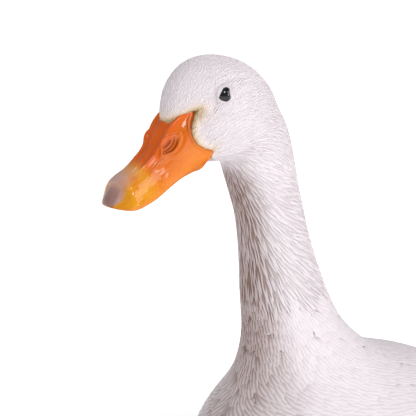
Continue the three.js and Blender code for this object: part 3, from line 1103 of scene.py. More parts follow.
@dataclass(frozen=True)
class Pattern:
    """One feather's shape, to be laid many times: a closed plate of rows along and columns across.

    For each vertex t is 0..1 from root to tip, and c is -1..1 from edge to edge.
    """

    rows: int
    t: Array
    c: Array
    faces: tuple

    @staticmethod
    def make(rows: int, columns: int) -> "Pattern":
        """A plate with a fine upper side and a plain underside.

        Args:
            rows: Steps from root to tip.
            columns: Steps from edge to edge.

        Returns:
            The pattern.
        """
        bm = bmesh.new()
        bmesh.ops.create_grid(bm, x_segments=columns, y_segments=rows, size=1.0)
        grid = np.array([v.co[:] for v in bm.verts])
        order = np.lexsort((grid[:, 0], grid[:, 1]))
        rank = np.argsort(order)
        faces = [tuple(int(rank[v.index]) for v in f.verts) for f in bm.faces]
        bm.free()
        wide = columns + 1
        left = [row * wide for row in range(rows + 1)]
        under = [(a, b, b + columns, a + columns) for a, b in zip(left, left[1:])]
        root = tuple(range(columns + 1))
        tip = tuple(rows * wide + c for c in range(columns, -1, -1))
        grid = grid[order]
        return Pattern(rows, (grid[:, 1] + 1) / 2, grid[:, 0], (*faces, *under, root, tip))

    def flat(self, face: tuple) -> bool:
        """True for the faces of the underside and the ends, whose edges stay crisp."""
        across = self.c[list(face)]
        return len(face) > 4 or across.max() - across.min() > 1.9


def lay(
    name: str, pattern: Pattern, points: Array, values: dict[str, Array], roots: Array,
) -> bpy.types.Object:
    """Joins many feathers into one mesh.

    Args:
        name: The piece's name.
        pattern: The shape that they share.
        points: An array (feathers, pattern vertices, 3).
        values: What to paint, each of shape (feathers, pattern vertices).
        roots: Where each feather springs from.

    Returns:
        The object, with its OFBake map.
    """
    count, size = points.shape[:2]
    totals = np.tile([len(f) for f in pattern.faces], count)
    flat = np.concatenate([np.array(f) for f in pattern.faces])
    loops = (flat[None] + size * np.arange(count)[:, None]).ravel()
    mesh = bpy.data.meshes.new(name)
    mesh.vertices.add(count * size)
    mesh.loops.add(len(loops))
    mesh.polygons.add(len(totals))
    mesh.vertices.foreach_set("co", points.ravel())
    mesh.polygons.foreach_set("loop_start", np.concatenate([[0], np.cumsum(totals)[:-1]]))
    mesh.polygons.foreach_set("loop_total", totals)
    mesh.loops.foreach_set("vertex_index", loops)
    mesh.update(calc_edges=True)
    for key, value in values.items():
        paint(mesh, key, value.ravel())
    spot = Unwrap().place(roots)
    low, high = spot.min(axis=0), spot.max(axis=0)
    spot = 0.01 + 0.98 * (spot - low) / np.maximum(high - low, 1e-6)
    u = spot[:, None, 0] + PATCH * (pattern.c[None] / 2)
    v = spot[:, None, 1] + PATCH * (pattern.t[None] - 0.5)
    uv = np.stack([u.ravel()[loops], v.ravel()[loops]], axis=1)
    layer = mesh.uv_layers.new(name="OFBake")
    layer.data.foreach_set("uv", uv.ravel())
    mesh.validate()
    obj = new_object(name, mesh)
    mesh.polygons.foreach_set("use_smooth", np.tile([not pattern.flat(f) for f in pattern.faces], count))
    return obj


@dataclass(kw_only=True)
class Carving:
    """Feathers that share a shape, each a thin plate spread along a spine of its own."""

    name: str
    pattern: Pattern
    rise: float = 0.35  # how far a tip stands off the skin, in crowns
    sink: float = 0.5  # how far a root lies under it, in crowns
    rounded: float = 0.4  # how far the tip's corners draw back
    tip: float = 0.4  # the width left at the tip
    root: float = 0.5  # the width at the root
    widest: float = 0.5  # where along it the feather is widest
    barbs: int = 0  # ridges fanning out over each feather
    relief: float = 0.0  # their height in millimetres
    ragged: float = 0.02  # how uneven a tip ends, in lengths
    fitted: bool = False  # whether the width bends over the skin too

    def dress(
        self, ground: Ground, spine: Array, normal: Array, width: Array, crown: Array,
        rng: np.random.Generator, finish: bpy.types.Material, tilt: Array | float = 0.0,
    ) -> bpy.types.Object:
        """Spreads a plate along each spine and paints it.

        Args:
            ground: The skin.
            spine: The shafts, of shape (feathers, steps + 1, 3).
            normal: The way out along them.
            width: Each feather's width, in metres.
            crown: How far its shaft stands out over its edges.
            rng: The source of chance.
            finish: The plumage's material.
            tilt: How far one edge is raised over the other.

        Returns:
            The piece.
        """
        t, c = self.pattern.t, self.pattern.c
        count, rows = len(spine), spine.shape[1] - 1
        # The rounded tip: a column further from the shaft ends sooner, and each ends a little unevenly.
        drawn = 1.0 - self.rounded * (1.0 - np.sqrt(1.0 - 0.92 * c**2)) * t**1.5
        ragged = 1.0 + rng.normal(0.0, self.ragged, (count, len(t))) * (t > 0.99)
        along = np.clip(t * drawn * ragged, 0.0, 1.0) * rows
        low = np.minimum(along.astype(int), rows - 1)
        part = (along - low)[..., None]
        index = np.arange(count)[:, None]

        def between(field: Array) -> Array:
            """A field of the spines, read at each vertex's place along its own."""
            return mix(field[index, low], field[index, low + 1], part)

        up = unit(between(normal))
        side = np.cross(unit(between(np.gradient(spine, axis=1))), up)
        past = np.maximum(1 - ((t - self.widest) / (1.0001 - self.widest)) ** 2, 0)
        swell = np.where(
            t < self.widest,
            self.root + (1 - self.root) * ease(t, 0.0, self.widest),
            self.tip + (1 - self.tip) * np.sqrt(past),
        )
        base = between(spine) + side * (c * swell * width[:, None] / 2)[..., None]
        if self.fitted:
            skin, slope = (field.reshape(base.shape) for field in ground.nearest(base.reshape(-1, 3)))
            far = np.linalg.norm(skin - base, axis=2, keepdims=True)
            close = (far < 1.8 * MM) & (np.sum(slope * up, axis=2, keepdims=True) > 0.4)
            lies = close.all(axis=(1, 2))
            base, up, crown, spine = skin[lies], slope[lies], crown[lies], spine[lies]
            count = len(spine)
        body = np.sin(math.pi * np.clip(t * 0.8 + 0.2, 0, 1)) ** 0.7
        height = crown[:, None] * (-self.sink + (self.rise + self.sink) * t + (1 - c**2) * body)
        height = height + np.reshape(tilt, (-1, 1)) * c * ease(t, 0.0, 0.4)
        ridge = 1.0 - 0.82 * c**2
        if self.barbs:
            wave = 0.5 + 0.5 * np.cos(c * math.pi * self.barbs)
            grown = ease(t, 0.05, 0.5) * (1 - 0.3 * t)
            height = height + self.relief * MM * grown * (wave - 0.5) * (0.6 + 0.8 * rng.random((count, 1)))
            ridge = 0.35 + 0.65 * wave
        points = base + up * height[..., None]
        flat = points.reshape(-1, 3)
        shape = (count, len(t))
        values = {
            # Painted shade: the crest is low at each feather's edges, between its barbs, and at its root
            # where the feather above overlaps it.
            "crest": np.clip(ridge * (0.25 + 0.75 * ease(t, 0.0, 0.55)) + np.zeros(shape), 0, 1),
            "tone": np.repeat(np.clip(rng.normal(0.0, 0.4, (count, 1)), -1, 1), len(t), axis=1),
            "wash": wash(flat).reshape(shape),
            "mist": mist(flat).reshape(shape),
        }
        obj = lay(self.name, self.pattern, points, values, spine[:, 0])
        finish_piece(obj, Slot.PLUMAGE, finish)
        return obj


@dataclass(kw_only=True)
class Coat(Carving):
    """A stretch of feathers scattered over the skin, each following its lie.

    Fields that are functions take points of the skin and give a number for each, in millimetres.
    """

    where: Callable[[Array], Array]
    length: Callable[[Array], Array]
    width: Callable[[Array], Array]
    crown: Callable[[Array], Array]
    tries: int
    seed: int
    gap: tuple[float, float]  # from one to the next, in lengths and in widths
    swing: float  # disorder, in radians
    bend: float = 0.7  # the cosine of the sharpest turn between two steps of a feather

    def build(self, ground: Ground, finish: bpy.types.Material) -> bpy.types.Object:
        """Lays the feathers.

        Args:
            ground: The skin.
            finish: The plumage's material.

        Returns:
            The piece.
        """
        rng = np.random.default_rng(self.seed)
        points, normals = ground.sample(self.tries, self.where, rng)
        ways = lie(points, normals)
        length, width = self.length(points), self.width(points)
        kept = thin_out(points, ways, length * self.gap[0] * MM, width * self.gap[1] * MM)
        points, normals, ways = points[kept], normals[kept], ways[kept]
        scale = 1.0 + rng.normal(0.0, 0.09, len(kept))
        length, width = length[kept] * scale * MM, width[kept] * scale * MM
        swing = rng.normal(0.0, self.swing, len(kept))
        spine, normal, lies = self.trace(ground, points, normals, ways, length, swing)
        crown = self.crown(points) * MM
        return self.dress(ground, spine[lies], normal[lies], width[lies], crown[lies], rng, finish)

    def trace(
        self, ground: Ground, points: Array, normals: Array, ways: Array, length: Array, swing: Array,
    ) -> tuple[Array, Array, Array]:
        """Follows the lie over the skin from each root.

        Args:
            ground: The skin.
            points: The roots.
            normals: The skin's normals there.
            ways: The lie there.
            length: How far to go, in metres.
            swing: How far each feather turns off the lie, in radians.

        Returns:
            The spines and the normals along them, of shape (feathers, rows + 1, 3), and which of the
            feathers lie on the skin for their whole length.
        """
        spine, normal = [points], [normals]
        lies = np.ones(len(points), dtype=bool)
        for _ in range(self.pattern.rows):
            turned = ways * np.cos(swing)[:, None] + np.cross(normals, ways) * np.sin(swing)[:, None]
            ahead = points + turned * (length / self.pattern.rows)[:, None]
            points, slopes = ground.nearest(ahead)
            lies &= np.sum(slopes * normals, axis=1) > self.bend
            lies &= np.linalg.norm(points - ahead, axis=1) < 2.0 * MM
            normals = slopes
            ways = lie(points, normals)
            spine.append(points)
            normal.append(normals)
        return np.stack(spine, axis=1), np.stack(normal, axis=1), lies


# ---------------------------------------------------------------- plumage


def face_z(points: Array) -> Array:
    """Heights above the eyes' level, in millimetres."""
    return (points[:, 2] - FACE[2]) / MM


@dataclass
class Plumage:
    """All the carved feathers that lie on the skin by its lie."""

    seam_head: float = -46.0
    seam_neck: float = -142.0
    # The stretches of rounded feathers: their names, where they start and end along the body, and seeds.
    stretches: tuple = (
        ("breast_feathers", -1.0, -0.075, 13),
        ("front_feathers", -0.075, 0.045, 14),
        ("rear_feathers", 0.045, 1.0, 15),
    )

    def coats(self) -> list[Coat]:
        """The stretches, from the head down."""
        return [self.head(), self.neck(), *(self.rounded(*stretch) for stretch in self.stretches)]

    @staticmethod
    def head_length(points: Array) -> Array:
        """A stroke's length on the head: shortest at the bill and the lids."""
        p = face_mm(points)
        return 3.8 + 2.4 * ease(p[:, 1], -20.0, 40.0) + 3.4 * ease(-p[:, 2], 14.0, 48.0)

    def head(self) -> Coat:
        """Short strokes over the head."""

        def where(points: Array) -> Array:
            """On the head, behind the bill and outside the lids."""
            clear = EYE_OPENING.outside(points) > 1.3
            return (face_z(points) > self.seam_head) & (FACE_LINE.ahead(points) < 0.75) & clear

        return Coat(
            name="head_strokes", pattern=Pattern.make(4, 2), tries=150000, where=where, seed=11,
            length=self.head_length,
            width=lambda p: 0.75 + 0.11 * self.head_length(p),
            crown=lambda p: 0.18 + 0.026 * self.head_length(p),
            gap=(0.5, 0.78), swing=0.09, tip=0.15, rounded=0.0, widest=0.45, rise=0.22,
        )

    @staticmethod
    def down_neck(points: Array) -> Array:
        """0 under the jaw to 1 on the neck."""
        return ease(-face_z(points), 46.0, 90.0)

    def neck(self) -> Coat:
        """Long strands round the neck."""

        def where(points: Array) -> Array:
            """From the jaw to the breast."""
            return (face_z(points) <= self.seam_head) & (face_z(points) > self.foot(points))

        return Coat(
            name="neck_strands", pattern=Pattern.make(6, 3), tries=160000, where=where, seed=12,
            length=lambda p: 8.0 + 6.5 * self.down_neck(p),
            width=lambda p: 1.3 + 0.35 * self.down_neck(p),
            crown=lambda p: 0.45 + 0.2 * self.down_neck(p),
            gap=(0.4, 0.62), swing=0.07, tip=0.2, rounded=0.0, root=0.35, widest=0.45, rise=0.3,
        )

    def foot(self, points: Array) -> Array:
        """The uneven height where the neck's strands end."""
        turn = NECK.turn(points)
        wave = 5.0 * np.sin(7.0 * turn + 0.5) + 3.5 * np.sin(19.0 * turn) + 2.5 * np.sin(43.0 * turn)
        return self.seam_neck + wave

    @staticmethod
    def body_length(points: Array) -> Array:
        """A rounded feather's length: 10 mm on the lower neck, 18 mm on the flanks and back."""
        thigh = ease(-points[:, 2], -0.12, -0.08)
        return (10.0 + 8.0 * ease(-face_z(points), 140.0, 235.0)) * (1 - 0.5 * thigh)

    def rounded(self, name: str, start: float, end: float, seed: int) -> Coat:
        """A stretch of rounded feathers, each with barbs fanning to its edge."""

        def where(points: Array) -> Array:
            """In the stretch, under the neck's strands and clear of the wings' large feathers."""
            here = (points[:, 1] > start) & (points[:, 1] <= end)
            return here & (face_z(points) <= self.foot(points)) & ~FlightFeathers.covers(points)

        return Coat(
            name=name, pattern=Pattern.make(5, 8), tries=60000, where=where, seed=seed,
            length=self.body_length,
            width=lambda p: 0.74 * self.body_length(p),
            crown=lambda p: 0.35 + 0.03 * self.body_length(p),
            gap=(0.27, 0.42), swing=0.10, tip=0.8, rounded=0.5, root=0.4, widest=0.62, rise=0.45, sink=0.4,
            barbs=4, relief=0.22, fitted=True,
        )


@dataclass(frozen=True)
class Flight:
    """A row of long feathers on one side, laid from table to table.

    Each table row is (y in millimetres, angle from straight up round the trunk in degrees); `first` and
    `last` are the row's end feathers, as root and tip.
    """

    name: str
    count: int
    first: tuple[tuple[float, float], tuple[float, float]]
    last: tuple[tuple[float, float], tuple[float, float]]
    width: tuple[float, float]
    level: float  # how far the tips stand off the skin, in millimetres


# The trunk's middle, as (y, height) in millimetres.
TRUNK_AXIS = ((-165, 44.0), (-100, 190.0), (0, 178.0), (100, 168.0), (160, 172.0), (230, 195.0))
# Where the wings' large feathers hide the skin, as (y in millimetres, degrees from straight up).
UNDER_FLIGHTS = ((-30, 92), (68, 88), (98, 64), (128, 50), (112, 36), (30, 27), (-30, 28))
DEGREE = 1.45  # millimetres round the trunk to a degree


@dataclass
class FlightFeathers:
    """The large feathers of both wings."""

    rows: tuple[Flight, ...] = (
        Flight("primary", 7, ((60, 74), (148, 46)), ((56, 56), (172, 25)), (15, 13), 2.2),
        Flight("secondary", 10, ((-4, 102), (84, 95)), ((4, 58), (118, 52)), (19, 20), 2.2),
        Flight("tertial", 6, ((-20, 62), (112, 52)), ((-16, 34), (138, 25)), (22, 21), 3.2),
        Flight("greater_covert", 12, ((-40, 102), (20, 99)), ((-24, 44), (40, 41)), (15, 16), 2.4),
        Flight("median_covert", 12, ((-66, 101), (-16, 99)), ((-50, 48), (6, 45)), (14, 15), 1.9),
        Flight("scapular", 8, ((-52, 56), (24, 50)), ((-54, 22), (40, 20)), (16, 17), 1.9),
    )
    tilt: float = 0.7 * MM  # how far each feather's lower edge stands out over the next one down
    buried: float = 1.8 * MM  # how deep the roots lie under the skin

    @staticmethod
    def covers(points: Array) -> Array:
        """True where these feathers hide the skin."""
        height = np.interp(points[:, 1] / MM, *np.array(TRUNK_AXIS).T)
        angle = np.degrees(np.arctan2(np.abs(points[:, 0]), points[:, 2] - height * MM))
        spot = np.stack([points[:, 1] / MM, angle * DEGREE], axis=1)
        outline = np.array(UNDER_FLIGHTS) * [1.0, DEGREE]
        return outline_distance(spot, outline) < 0.0

    def build(self, ground: Ground, finish: bpy.types.Material) -> None:
        """Lays the feathers of both wings, one piece for each side."""
        for side, sign in (("left", 1.0), ("right", -1.0)):
            rng = np.random.default_rng(31)
            spines, normals, widths = [], [], []
            steps = np.linspace(0, 1, LONG + 1)[:, None]
            for row in self.rows:
                for i in range(row.count):
                    share = i / (row.count - 1)
                    ends = mix(np.array(row.first), np.array(row.last), share)
                    spine, normal = self.path(ground, ends, sign)
                    lift = (row.level - 0.03 * i) * MM * steps - self.buried * (1 - steps)
                    spines.append(spine + normal * lift)
                    normals.append(normal)
                    widths.append(mix(*row.width, share) * MM)
            carving = Carving(
                name="flight_feathers_" + side, pattern=Pattern.make(LONG, 16), rise=0.0, sink=0.2,
                tip=0.45, rounded=0.16, widest=0.6, barbs=7, relief=0.26, ragged=0.002,
            )
            crowns = np.full(len(spines), 1.0 * MM)
            tilts = np.full(len(spines), self.tilt * sign)
            carving.dress(
                ground, np.array(spines), np.array(normals), np.array(widths), crowns, rng, finish, tilts,
            )

    @staticmethod
    def path(ground: Ground, ends: Array, sign: float) -> tuple[Array, Array]:
        """Points of the skin between two places given as (y, angle), and the normals there."""
        share = np.linspace(0, 1, LONG + 1)[:, None]
        place = mix(ends[0], ends[1], share)
        height = np.interp(place[:, 0], *np.array(TRUNK_AXIS).T)
        angle = np.radians(place[:, 1])
        way = np.stack([sign * np.sin(angle), 0 * angle, np.cos(angle)], axis=1)
        middle = np.stack([0 * angle, place[:, 0], height], axis=1) * MM
        found = []
        for origin, step in zip(middle + way * 0.2, -way):
            # A ray that slips between two faces is cast again a little to either side.
            starts = (Vector(origin + [0, shift, 0]) for shift in (0, 3e-4, -3e-4))
            hits = (ground.tree.ray_cast(start, Vector(step), 0.25)[0] for start in starts)
            hit = next((h for h in hits if h is not None), None)
            found.append(np.array(hit[:]) if hit is not None else 2 * found[-1] - found[-2])
        points = np.array(found)
        normals = ground.nearest(points)[1]
        steps = np.linspace(-1, 1, LONG + 1)
        curve, slope = nearest_curve(steps, points, 3), nearest_curve(steps, normals, 2)
        for _ in range(3):
            points[1:-1] = (points[:-2] + 2 * points[1:-1] + points[2:]) / 4
        clear = ease(share, 0.1, 0.5)
        return mix(points, curve, clear), unit(mix(normals, slope, clear))


@dataclass(frozen=True)
class Fan:
    """A row of feathers spread over the tail, in millimetres."""

    count: int
    spread: float  # from the middle to the outermost tip
    root: tuple[float, float]  # how far back, and half as wide as the roots stand
    reach: tuple[float, float]  # the middle and the outermost tip's y
    width: float
    level: float


@dataclass
class TailFan:
    """The stiff tail feathers, spread on the tail's upper side, and the coverts over their roots."""

    rows: tuple[Fan, ...] = (
        Fan(12, 33.0, (150.0, 9.0), (226.0, 207.0), 15.0, 1.6),
        Fan(9, 27.0, (116.0, 16.0), (176.0, 160.0), 14.0, 2.2),
    )

    def build(self, ground: Ground, finish: bpy.types.Material) -> None:
        """Lays the fans, the outer feathers lowest."""
        spines, normals, tilts, widths = [], [], [], []
        for row in self.rows:
            for i in sorted(range(row.count), key=lambda i: -abs(i - (row.count - 1) / 2)):
                across = 2 * i / (row.count - 1) - 1
                share = np.linspace(0, 1, LONG + 1)
                x = across * mix(row.root[1], row.spread, share)
                tip = row.reach[0] + (row.reach[1] - row.reach[0]) * across**2
                y = mix(row.root[0], tip, share)
                points = []
                for a, b in zip(x, y):
                    hit = ground.tree.ray_cast(Vector((a * MM, b * MM, 0.3)), Vector((0, 0, -1)), 0.3)[0]
                    last = 2 * points[-1] - points[-2] if len(points) > 1 else np.zeros(3)
                    points.append(np.array(hit[:]) if hit is not None and hit.z > 0.13 else last)
                normal = unit(np.tile([0.35 * across, -0.3, 0.95], (LONG + 1, 1)))
                lift = (0.4 + row.level * (1 - 0.6 * abs(across))) * share - 1.0 * (1 - share)
                spines.append(nearest_curve(share, np.array(points), 3) + normal * lift[:, None] * MM)
                normals.append(normal)
                tilts.append(0.5 * MM * np.sign(across))
                widths.append(row.width * MM)
        carving = Carving(
            name="tail_feathers", pattern=Pattern.make(LONG, 12), rise=0.0, sink=0.3, tip=0.6, rounded=0.16,
            root=0.6, widest=0.6, barbs=5, relief=0.3, ragged=0.002,
        )
        crowns = np.full(len(spines), 0.9 * MM)
        rng = np.random.default_rng(41)
        carving.dress(
            ground, np.array(spines), np.array(normals), np.array(widths), crowns, rng, finish,
            np.array(tilts),
        )


# ---------------------------------------------------------------- bill and eyes


@dataclass
class Bill:
    """Both halves of the bill, with its nostrils, its nail and the lip along the feathers."""

    around: int = 256
    along: int = 230
    # Where the ridge runs on either side of the top: (y, x) in the face's millimetres.
    ridge: tuple = ((-50, 6.6), (-37, 7.2), (-32, 7.8), (-22, 9.2), (-15, 10.1), (-8, 11.2))

    def build(self, finish: bpy.types.Material) -> None:
        """Makes and dresses both halves."""
        self.upper(finish)
        self.lower(finish)

    def upper(self, finish: bpy.types.Material) -> None:
        """The upper half."""
        bm, s, angle = BILL_FORM.build(self.around, self.along)
        points = np.array([v.co[:] for v in bm.verts])
        p = face_mm(points)
        rise = np.sin(angle)
        ahead = FACE_LINE.ahead(points)
        cheek = 1.0 - FACE_LINE.brow(points)
        nostril, hollow_shade = self.nostril(p)
        grain = np.array([noise.noise((at * 9.0, turn * 5.0, 3.0)) for at, turn in zip(s, angle)])
        fine = np.array([noise.noise((at * 26.0, turn * 14.0, 7.0)) for at, turn in zip(s, angle)])
        crest = np.interp(p[:, 1], *zip(*self.ridge))
        upper = ease(rise, 0.25, 0.6)
        ridge = bell(p[:, 0] - crest, 0.0, 1.3) * upper * ease(p[:, 1], -54.0, -42.0)
        trough = bell(p[:, 0] - crest, -3.6, 2.2) * upper * ease(p[:, 1], -50.0, -38.0)
        fold = bell(ahead, 1.9, 0.6) * cheek * ease(-p[:, 2], 17.0, 21.0) * ease(p[:, 2], -32.0, -28.0)
        nail = ease(s, 0.90, 0.955) * ease(7.4 - np.abs(p[:, 0]), 0.0, 3.0) * ease(rise, 0.0, 0.3)
        lift = 1.6 * ridge - 0.8 * trough + nostril - 0.4 * fold + 0.3 * nail + 0.22 * grain + 0.09 * fine
        lift += flare(points)
        placed = BILL_FORM.place(s, angle, (lift - self.dive(points)) * MM)
        placed[:, 2] -= nail * ease(s, 0.94, 1.0) * 0.7 * MM
        place_vertices(bm, placed)
        obj = from_bmesh("bill_upper_half", bm)
        mesh = obj.data
        top = ease(rise, 0.6, 0.97)
        paint(mesh, "along", s)
        paint(mesh, "round", angle / math.pi)
        paint(mesh, "ridge", top * (1.0 - 0.8 * ease(s, 0.5, 0.8)))
        paint(mesh, "edge", (1.0 - ease(rise, 0.0, 0.5)) * (1.0 - 0.35 * ease(s, 0.55, 0.9)))
        paint(mesh, "front", ease(s, 0.52, 0.74) * (1.0 - 0.5 * ease(0.3 - rise, 0.0, 0.3)))
        # Where the painted sheen lies: the top of the bill towards the nail.
        paint(mesh, "tip", ease(s, 0.60, 0.92) * ease(rise + 0.5 * ease(s, 0.88, 1.0), 0.72, 1.0))
        paint(mesh, "nail", nail)
        # Painted shade: dark in the nostrils' folds, along the face line where the bill goes under the
        # feathers, and in the crease before the cheek's lip.
        shade = bell(np.maximum(ahead, 0.0), 0.0, 0.55) * 0.8
        paint(mesh, "hollow_shade", np.clip(hollow_shade + shade + 0.35 * fold, 0.0, 1.0))
        finish_piece(obj, Slot.BILL, finish, "bill_upper")

    @staticmethod
    def dive(points: Array) -> Array:
        """How deep the bill goes under the skin behind the face line, in millimetres."""
        ahead = FACE_LINE.ahead(points)
        lip = bell(ahead, 1.1, 0.75) * 0.85 * (1.0 - FACE_LINE.brow(points))
        return (1.0 - ease(ahead, -1.3, -0.1)) * 2.4 - lip

    @staticmethod
    def nostril(p: Array) -> tuple[Array, Array]:
        """The raised leaf shape round each nostril with its nested folds, and the painted shade in the
        folds.
        """
        y, z = p[:, 1] + 30.6, p[:, 2] + 30.2
        u = (-0.70 * y - 0.714 * z) / 6.7
        v = (0.714 * y - 0.70 * z) / 2.8 / (1.0 - 0.45 * ease(u, 0.1, 1.0))
        r = np.hypot(u, v)
        on = ease(p[:, 0], 3.0, 6.0)
        folds = 0.5 - 0.5 * np.cos((v + 0.8 * u**2) * 2.0 * math.pi / 0.62)
        within = 1.0 - ease(r, 0.82, 0.98)
        rim = bell(r, 1.1, 0.2) * 1.6
        swell = bell(r, 2.1, 0.6) * 0.8 * ease(v, -0.4, 0.6)
        return on * (rim + swell + within * (folds - 0.8)), on * within * (1.0 - folds) * 0.95

    def lower(self, finish: bpy.types.Material) -> None:
        """The lower half, under the bite line."""
        bm, s, angle = LOWER_FORM.build(72, 90)
        points = np.array([v.co[:] for v in bm.verts])
        wider = flare(points) * ease(np.abs(np.cos(angle)), 0.55, 1.0)
        place_vertices(bm, LOWER_FORM.place(s, angle, (wider - self.dive(points)) * MM))
        obj = from_bmesh("bill_lower_half", bm)
        paint(obj.data, "along", s)
        paint(obj.data, "round", angle / math.pi)
        for name in ("ridge", "tip", "nail", "hollow_shade"):
            paint(obj.data, name, np.zeros(len(s)))
        paint(obj.data, "edge", np.ones(len(s)))
        paint(obj.data, "front", 0.6 * ease(s, 0.5, 0.9))
        finish_piece(obj, Slot.BILL, finish, "bill_lower")


@dataclass
class Eyes:
    """Two polished beads."""

    segments: int = 64

    def build(self, finish: bpy.types.Material) -> None:
        """Makes and dresses both."""
        for side, sign in (("left", 1.0), ("right", -1.0)):
            bm = sphere(self.segments, self.segments // 2, EYE_RADIUS)
            bmesh.ops.translate(bm, vec=(sign * EYE_NODE[0], EYE_NODE[1], EYE_NODE[2]), verts=bm.verts[:])
            finish_piece(from_bmesh("eye_bead_" + side, bm), Slot.EYE, finish, "eye_" + side)


# ---------------------------------------------------------------- legs


@dataclass
class Legs:
    """Shanks with scales down the front, and webbed feet with claws."""

    out: float = 46.0
    ankle: float = -7.5
    voxel: float = 0.9 * MM
    toes: tuple = ((74.0, 0.0), (60.0, 0.46), (66.0, -0.44), (19.0, 0.92 * math.pi))  # lengths and turns

    def build(self, finish: bpy.types.Material, horn: bpy.types.Material) -> None:
        """Makes and dresses both legs."""
        for side, sign in (("left", 1.0), ("right", -1.0)):
            self.shank(side, sign, finish)
            self.foot(side, sign, finish)
            self.claws(side, sign, horn)

    def shank(self, side: str, sign: float, finish: bpy.types.Material) -> None:
        """One shank, its front plates standing out a little."""
        line = ((45, -1.5, 84), (45, -0.5, 72), (45.5, -3.5, 56), (46, -6.5, 34), (46, -7.5, 7))
        spine = np.array([(sign * x * MM, y * MM, z * MM) for x, y, z in line])
        deep = (8.4, 9, 7.2, 6.6, 6.6, 7, 8.0)
        tube = Tube(spine, (7.4, 8, 6.6, 6, 6, 6.4, 7.2), deep, deep, ends=(0.1, 0.08))
        bm, s, angle = tube.build(48, 96)
        front = ease(-np.sin(angle), -0.1, 0.6)
        plates = np.abs((s * 13.0 + 0.15 * np.cos(angle * 2)) % 1.0 - 0.5) * 2
        groove = bell(1 - plates, 0.0, 0.16) * front
        place_vertices(bm, tube.place(s, angle, (0.25 * front - 0.45 * groove) * MM))
        obj = from_bmesh("shank_scaled_" + side, bm)
        paint(obj.data, "crest", 1.0 - groove)
        finish_piece(obj, Slot.LEG, finish, "shank_" + side)

    def foot(self, side: str, sign: float, finish: bpy.types.Material) -> None:
        """One foot, rounded from its node, with scutes on its toes and pleats in its webs."""
        rough = from_bmesh("foot_rough", node_copy("foot_" + side))
        mesh = remeshed(rough, self.voxel, "foot_webbed_" + side)
        Skin.soften(mesh, 6)
        points = coordinates(mesh)
        local = points * [sign, 1, 1] / MM - [self.out, self.ankle, 0]
        top = ease(vertex_normals(mesh)[:, 2], 0.1, 0.7)
        away, groove = np.full(len(points), 99.0), np.zeros(len(points))
        for length, turn in self.toes:
            along = local[:, 0] * math.sin(turn) - local[:, 1] * math.cos(turn)
            across = np.abs(local[:, 0] * math.cos(turn) + local[:, 1] * math.sin(turn))
            across = np.where((along > -3) & (along < length + 3), across, 99.0)
            scute = np.abs((along / 3.7) % 1.0 - 0.5) * 2
            ring = bell(1 - scute, 0.0, 0.3) * ease(along, 6.0, 12.0)
            groove = np.where(across < away, ring * (1 - ease(across, 2.4, 4.2)), groove)
            away = np.minimum(away, across)
        web = ease(away, 4.2, 7.5) * ease(-local[:, 1], 8.0, 20.0) * top
        bearing = np.arctan2(local[:, 0], -local[:, 1])
        pleat = 0.22 * np.cos(bearing * 74.0) * ease(-local[:, 1], 16.0, 34.0)
        points[:, 2] -= (web * (1.1 - pleat) + 0.38 * groove * top) * MM
        points[:, 2] = np.maximum(points[:, 2], 0.0)
        move_to(mesh, points)
        # Painted shade: the webs are darker, most in their pleats' troughs; the grooves between the scutes
        # take the brown wash.
        paint(mesh, "crest", 1.0 - 0.8 * groove * top - 0.3 * web * (0.5 - 2 * pleat))
        finish_piece(new_object(mesh.name, mesh), Slot.LEG, finish, "foot_" + side)

    def claws(self, side: str, sign: float, finish: bpy.types.Material) -> None:
        """The claws of one foot, each let into its toe's tip."""
        whole = bmesh.new()
        for length, turn in self.toes:
            spine = []
            for ahead, z in ((-4.5, 3.4), (0.5, 4.2), (4.6, 3.4), (7.6, 1.3)):
                reach = length + ahead
                x, y = self.out + math.sin(turn) * reach, self.ankle - math.cos(turn) * reach
                spine.append((sign * x * MM, y * MM, z * MM))
            tube = Tube(
                np.array(spine),
                (2.0, 2.1, 1.7, 1.1, 0.5), (1.7, 1.8, 1.5, 1.0, 0.5), (1.5, 1.6, 1.3, 0.8, 0.4),
                ends=(0.15, 0.12), side=(sign * math.cos(turn), math.sin(turn), 0.0),
            )
            add_part(whole, tube.build(20, 24)[0])
        finish_piece(from_bmesh("claws_" + side, whole), Slot.LEG, finish)


# ---------------------------------------------------------------- studio


@dataclass(frozen=True)
class Lamp:
    """A soft area light, placed in metres to the camera's right, up and back."""

    name: str
    place: tuple[float, float, float]
    size: float
    watts: float
    tint: tuple[float, float, float]

    def hang(self, axes: tuple[Array, Array, Array], aim: Array) -> None:
        """Hangs the lamp about its aim, turned to it.

        Args:
            axes: The camera's right, up and back.
            aim: What the lamp shines at.
        """
        data = bpy.data.lights.new(self.name, "AREA")
        data.shape = "RECTANGLE"
        data.size, data.size_y = self.size, self.size * 1.3
        data.energy = self.watts
        data.color = self.tint
        right, up, back = axes
        place = aim + right * self.place[0] + up * self.place[1] + back * self.place[2]
        lamp = bpy.data.objects.new(self.name, data)
        lamp.location = place
        lamp.rotation_euler = (Vector(place) - Vector(aim)).to_track_quat("Z", "Y").to_euler()
        bpy.context.scene.collection.objects.link(lamp)


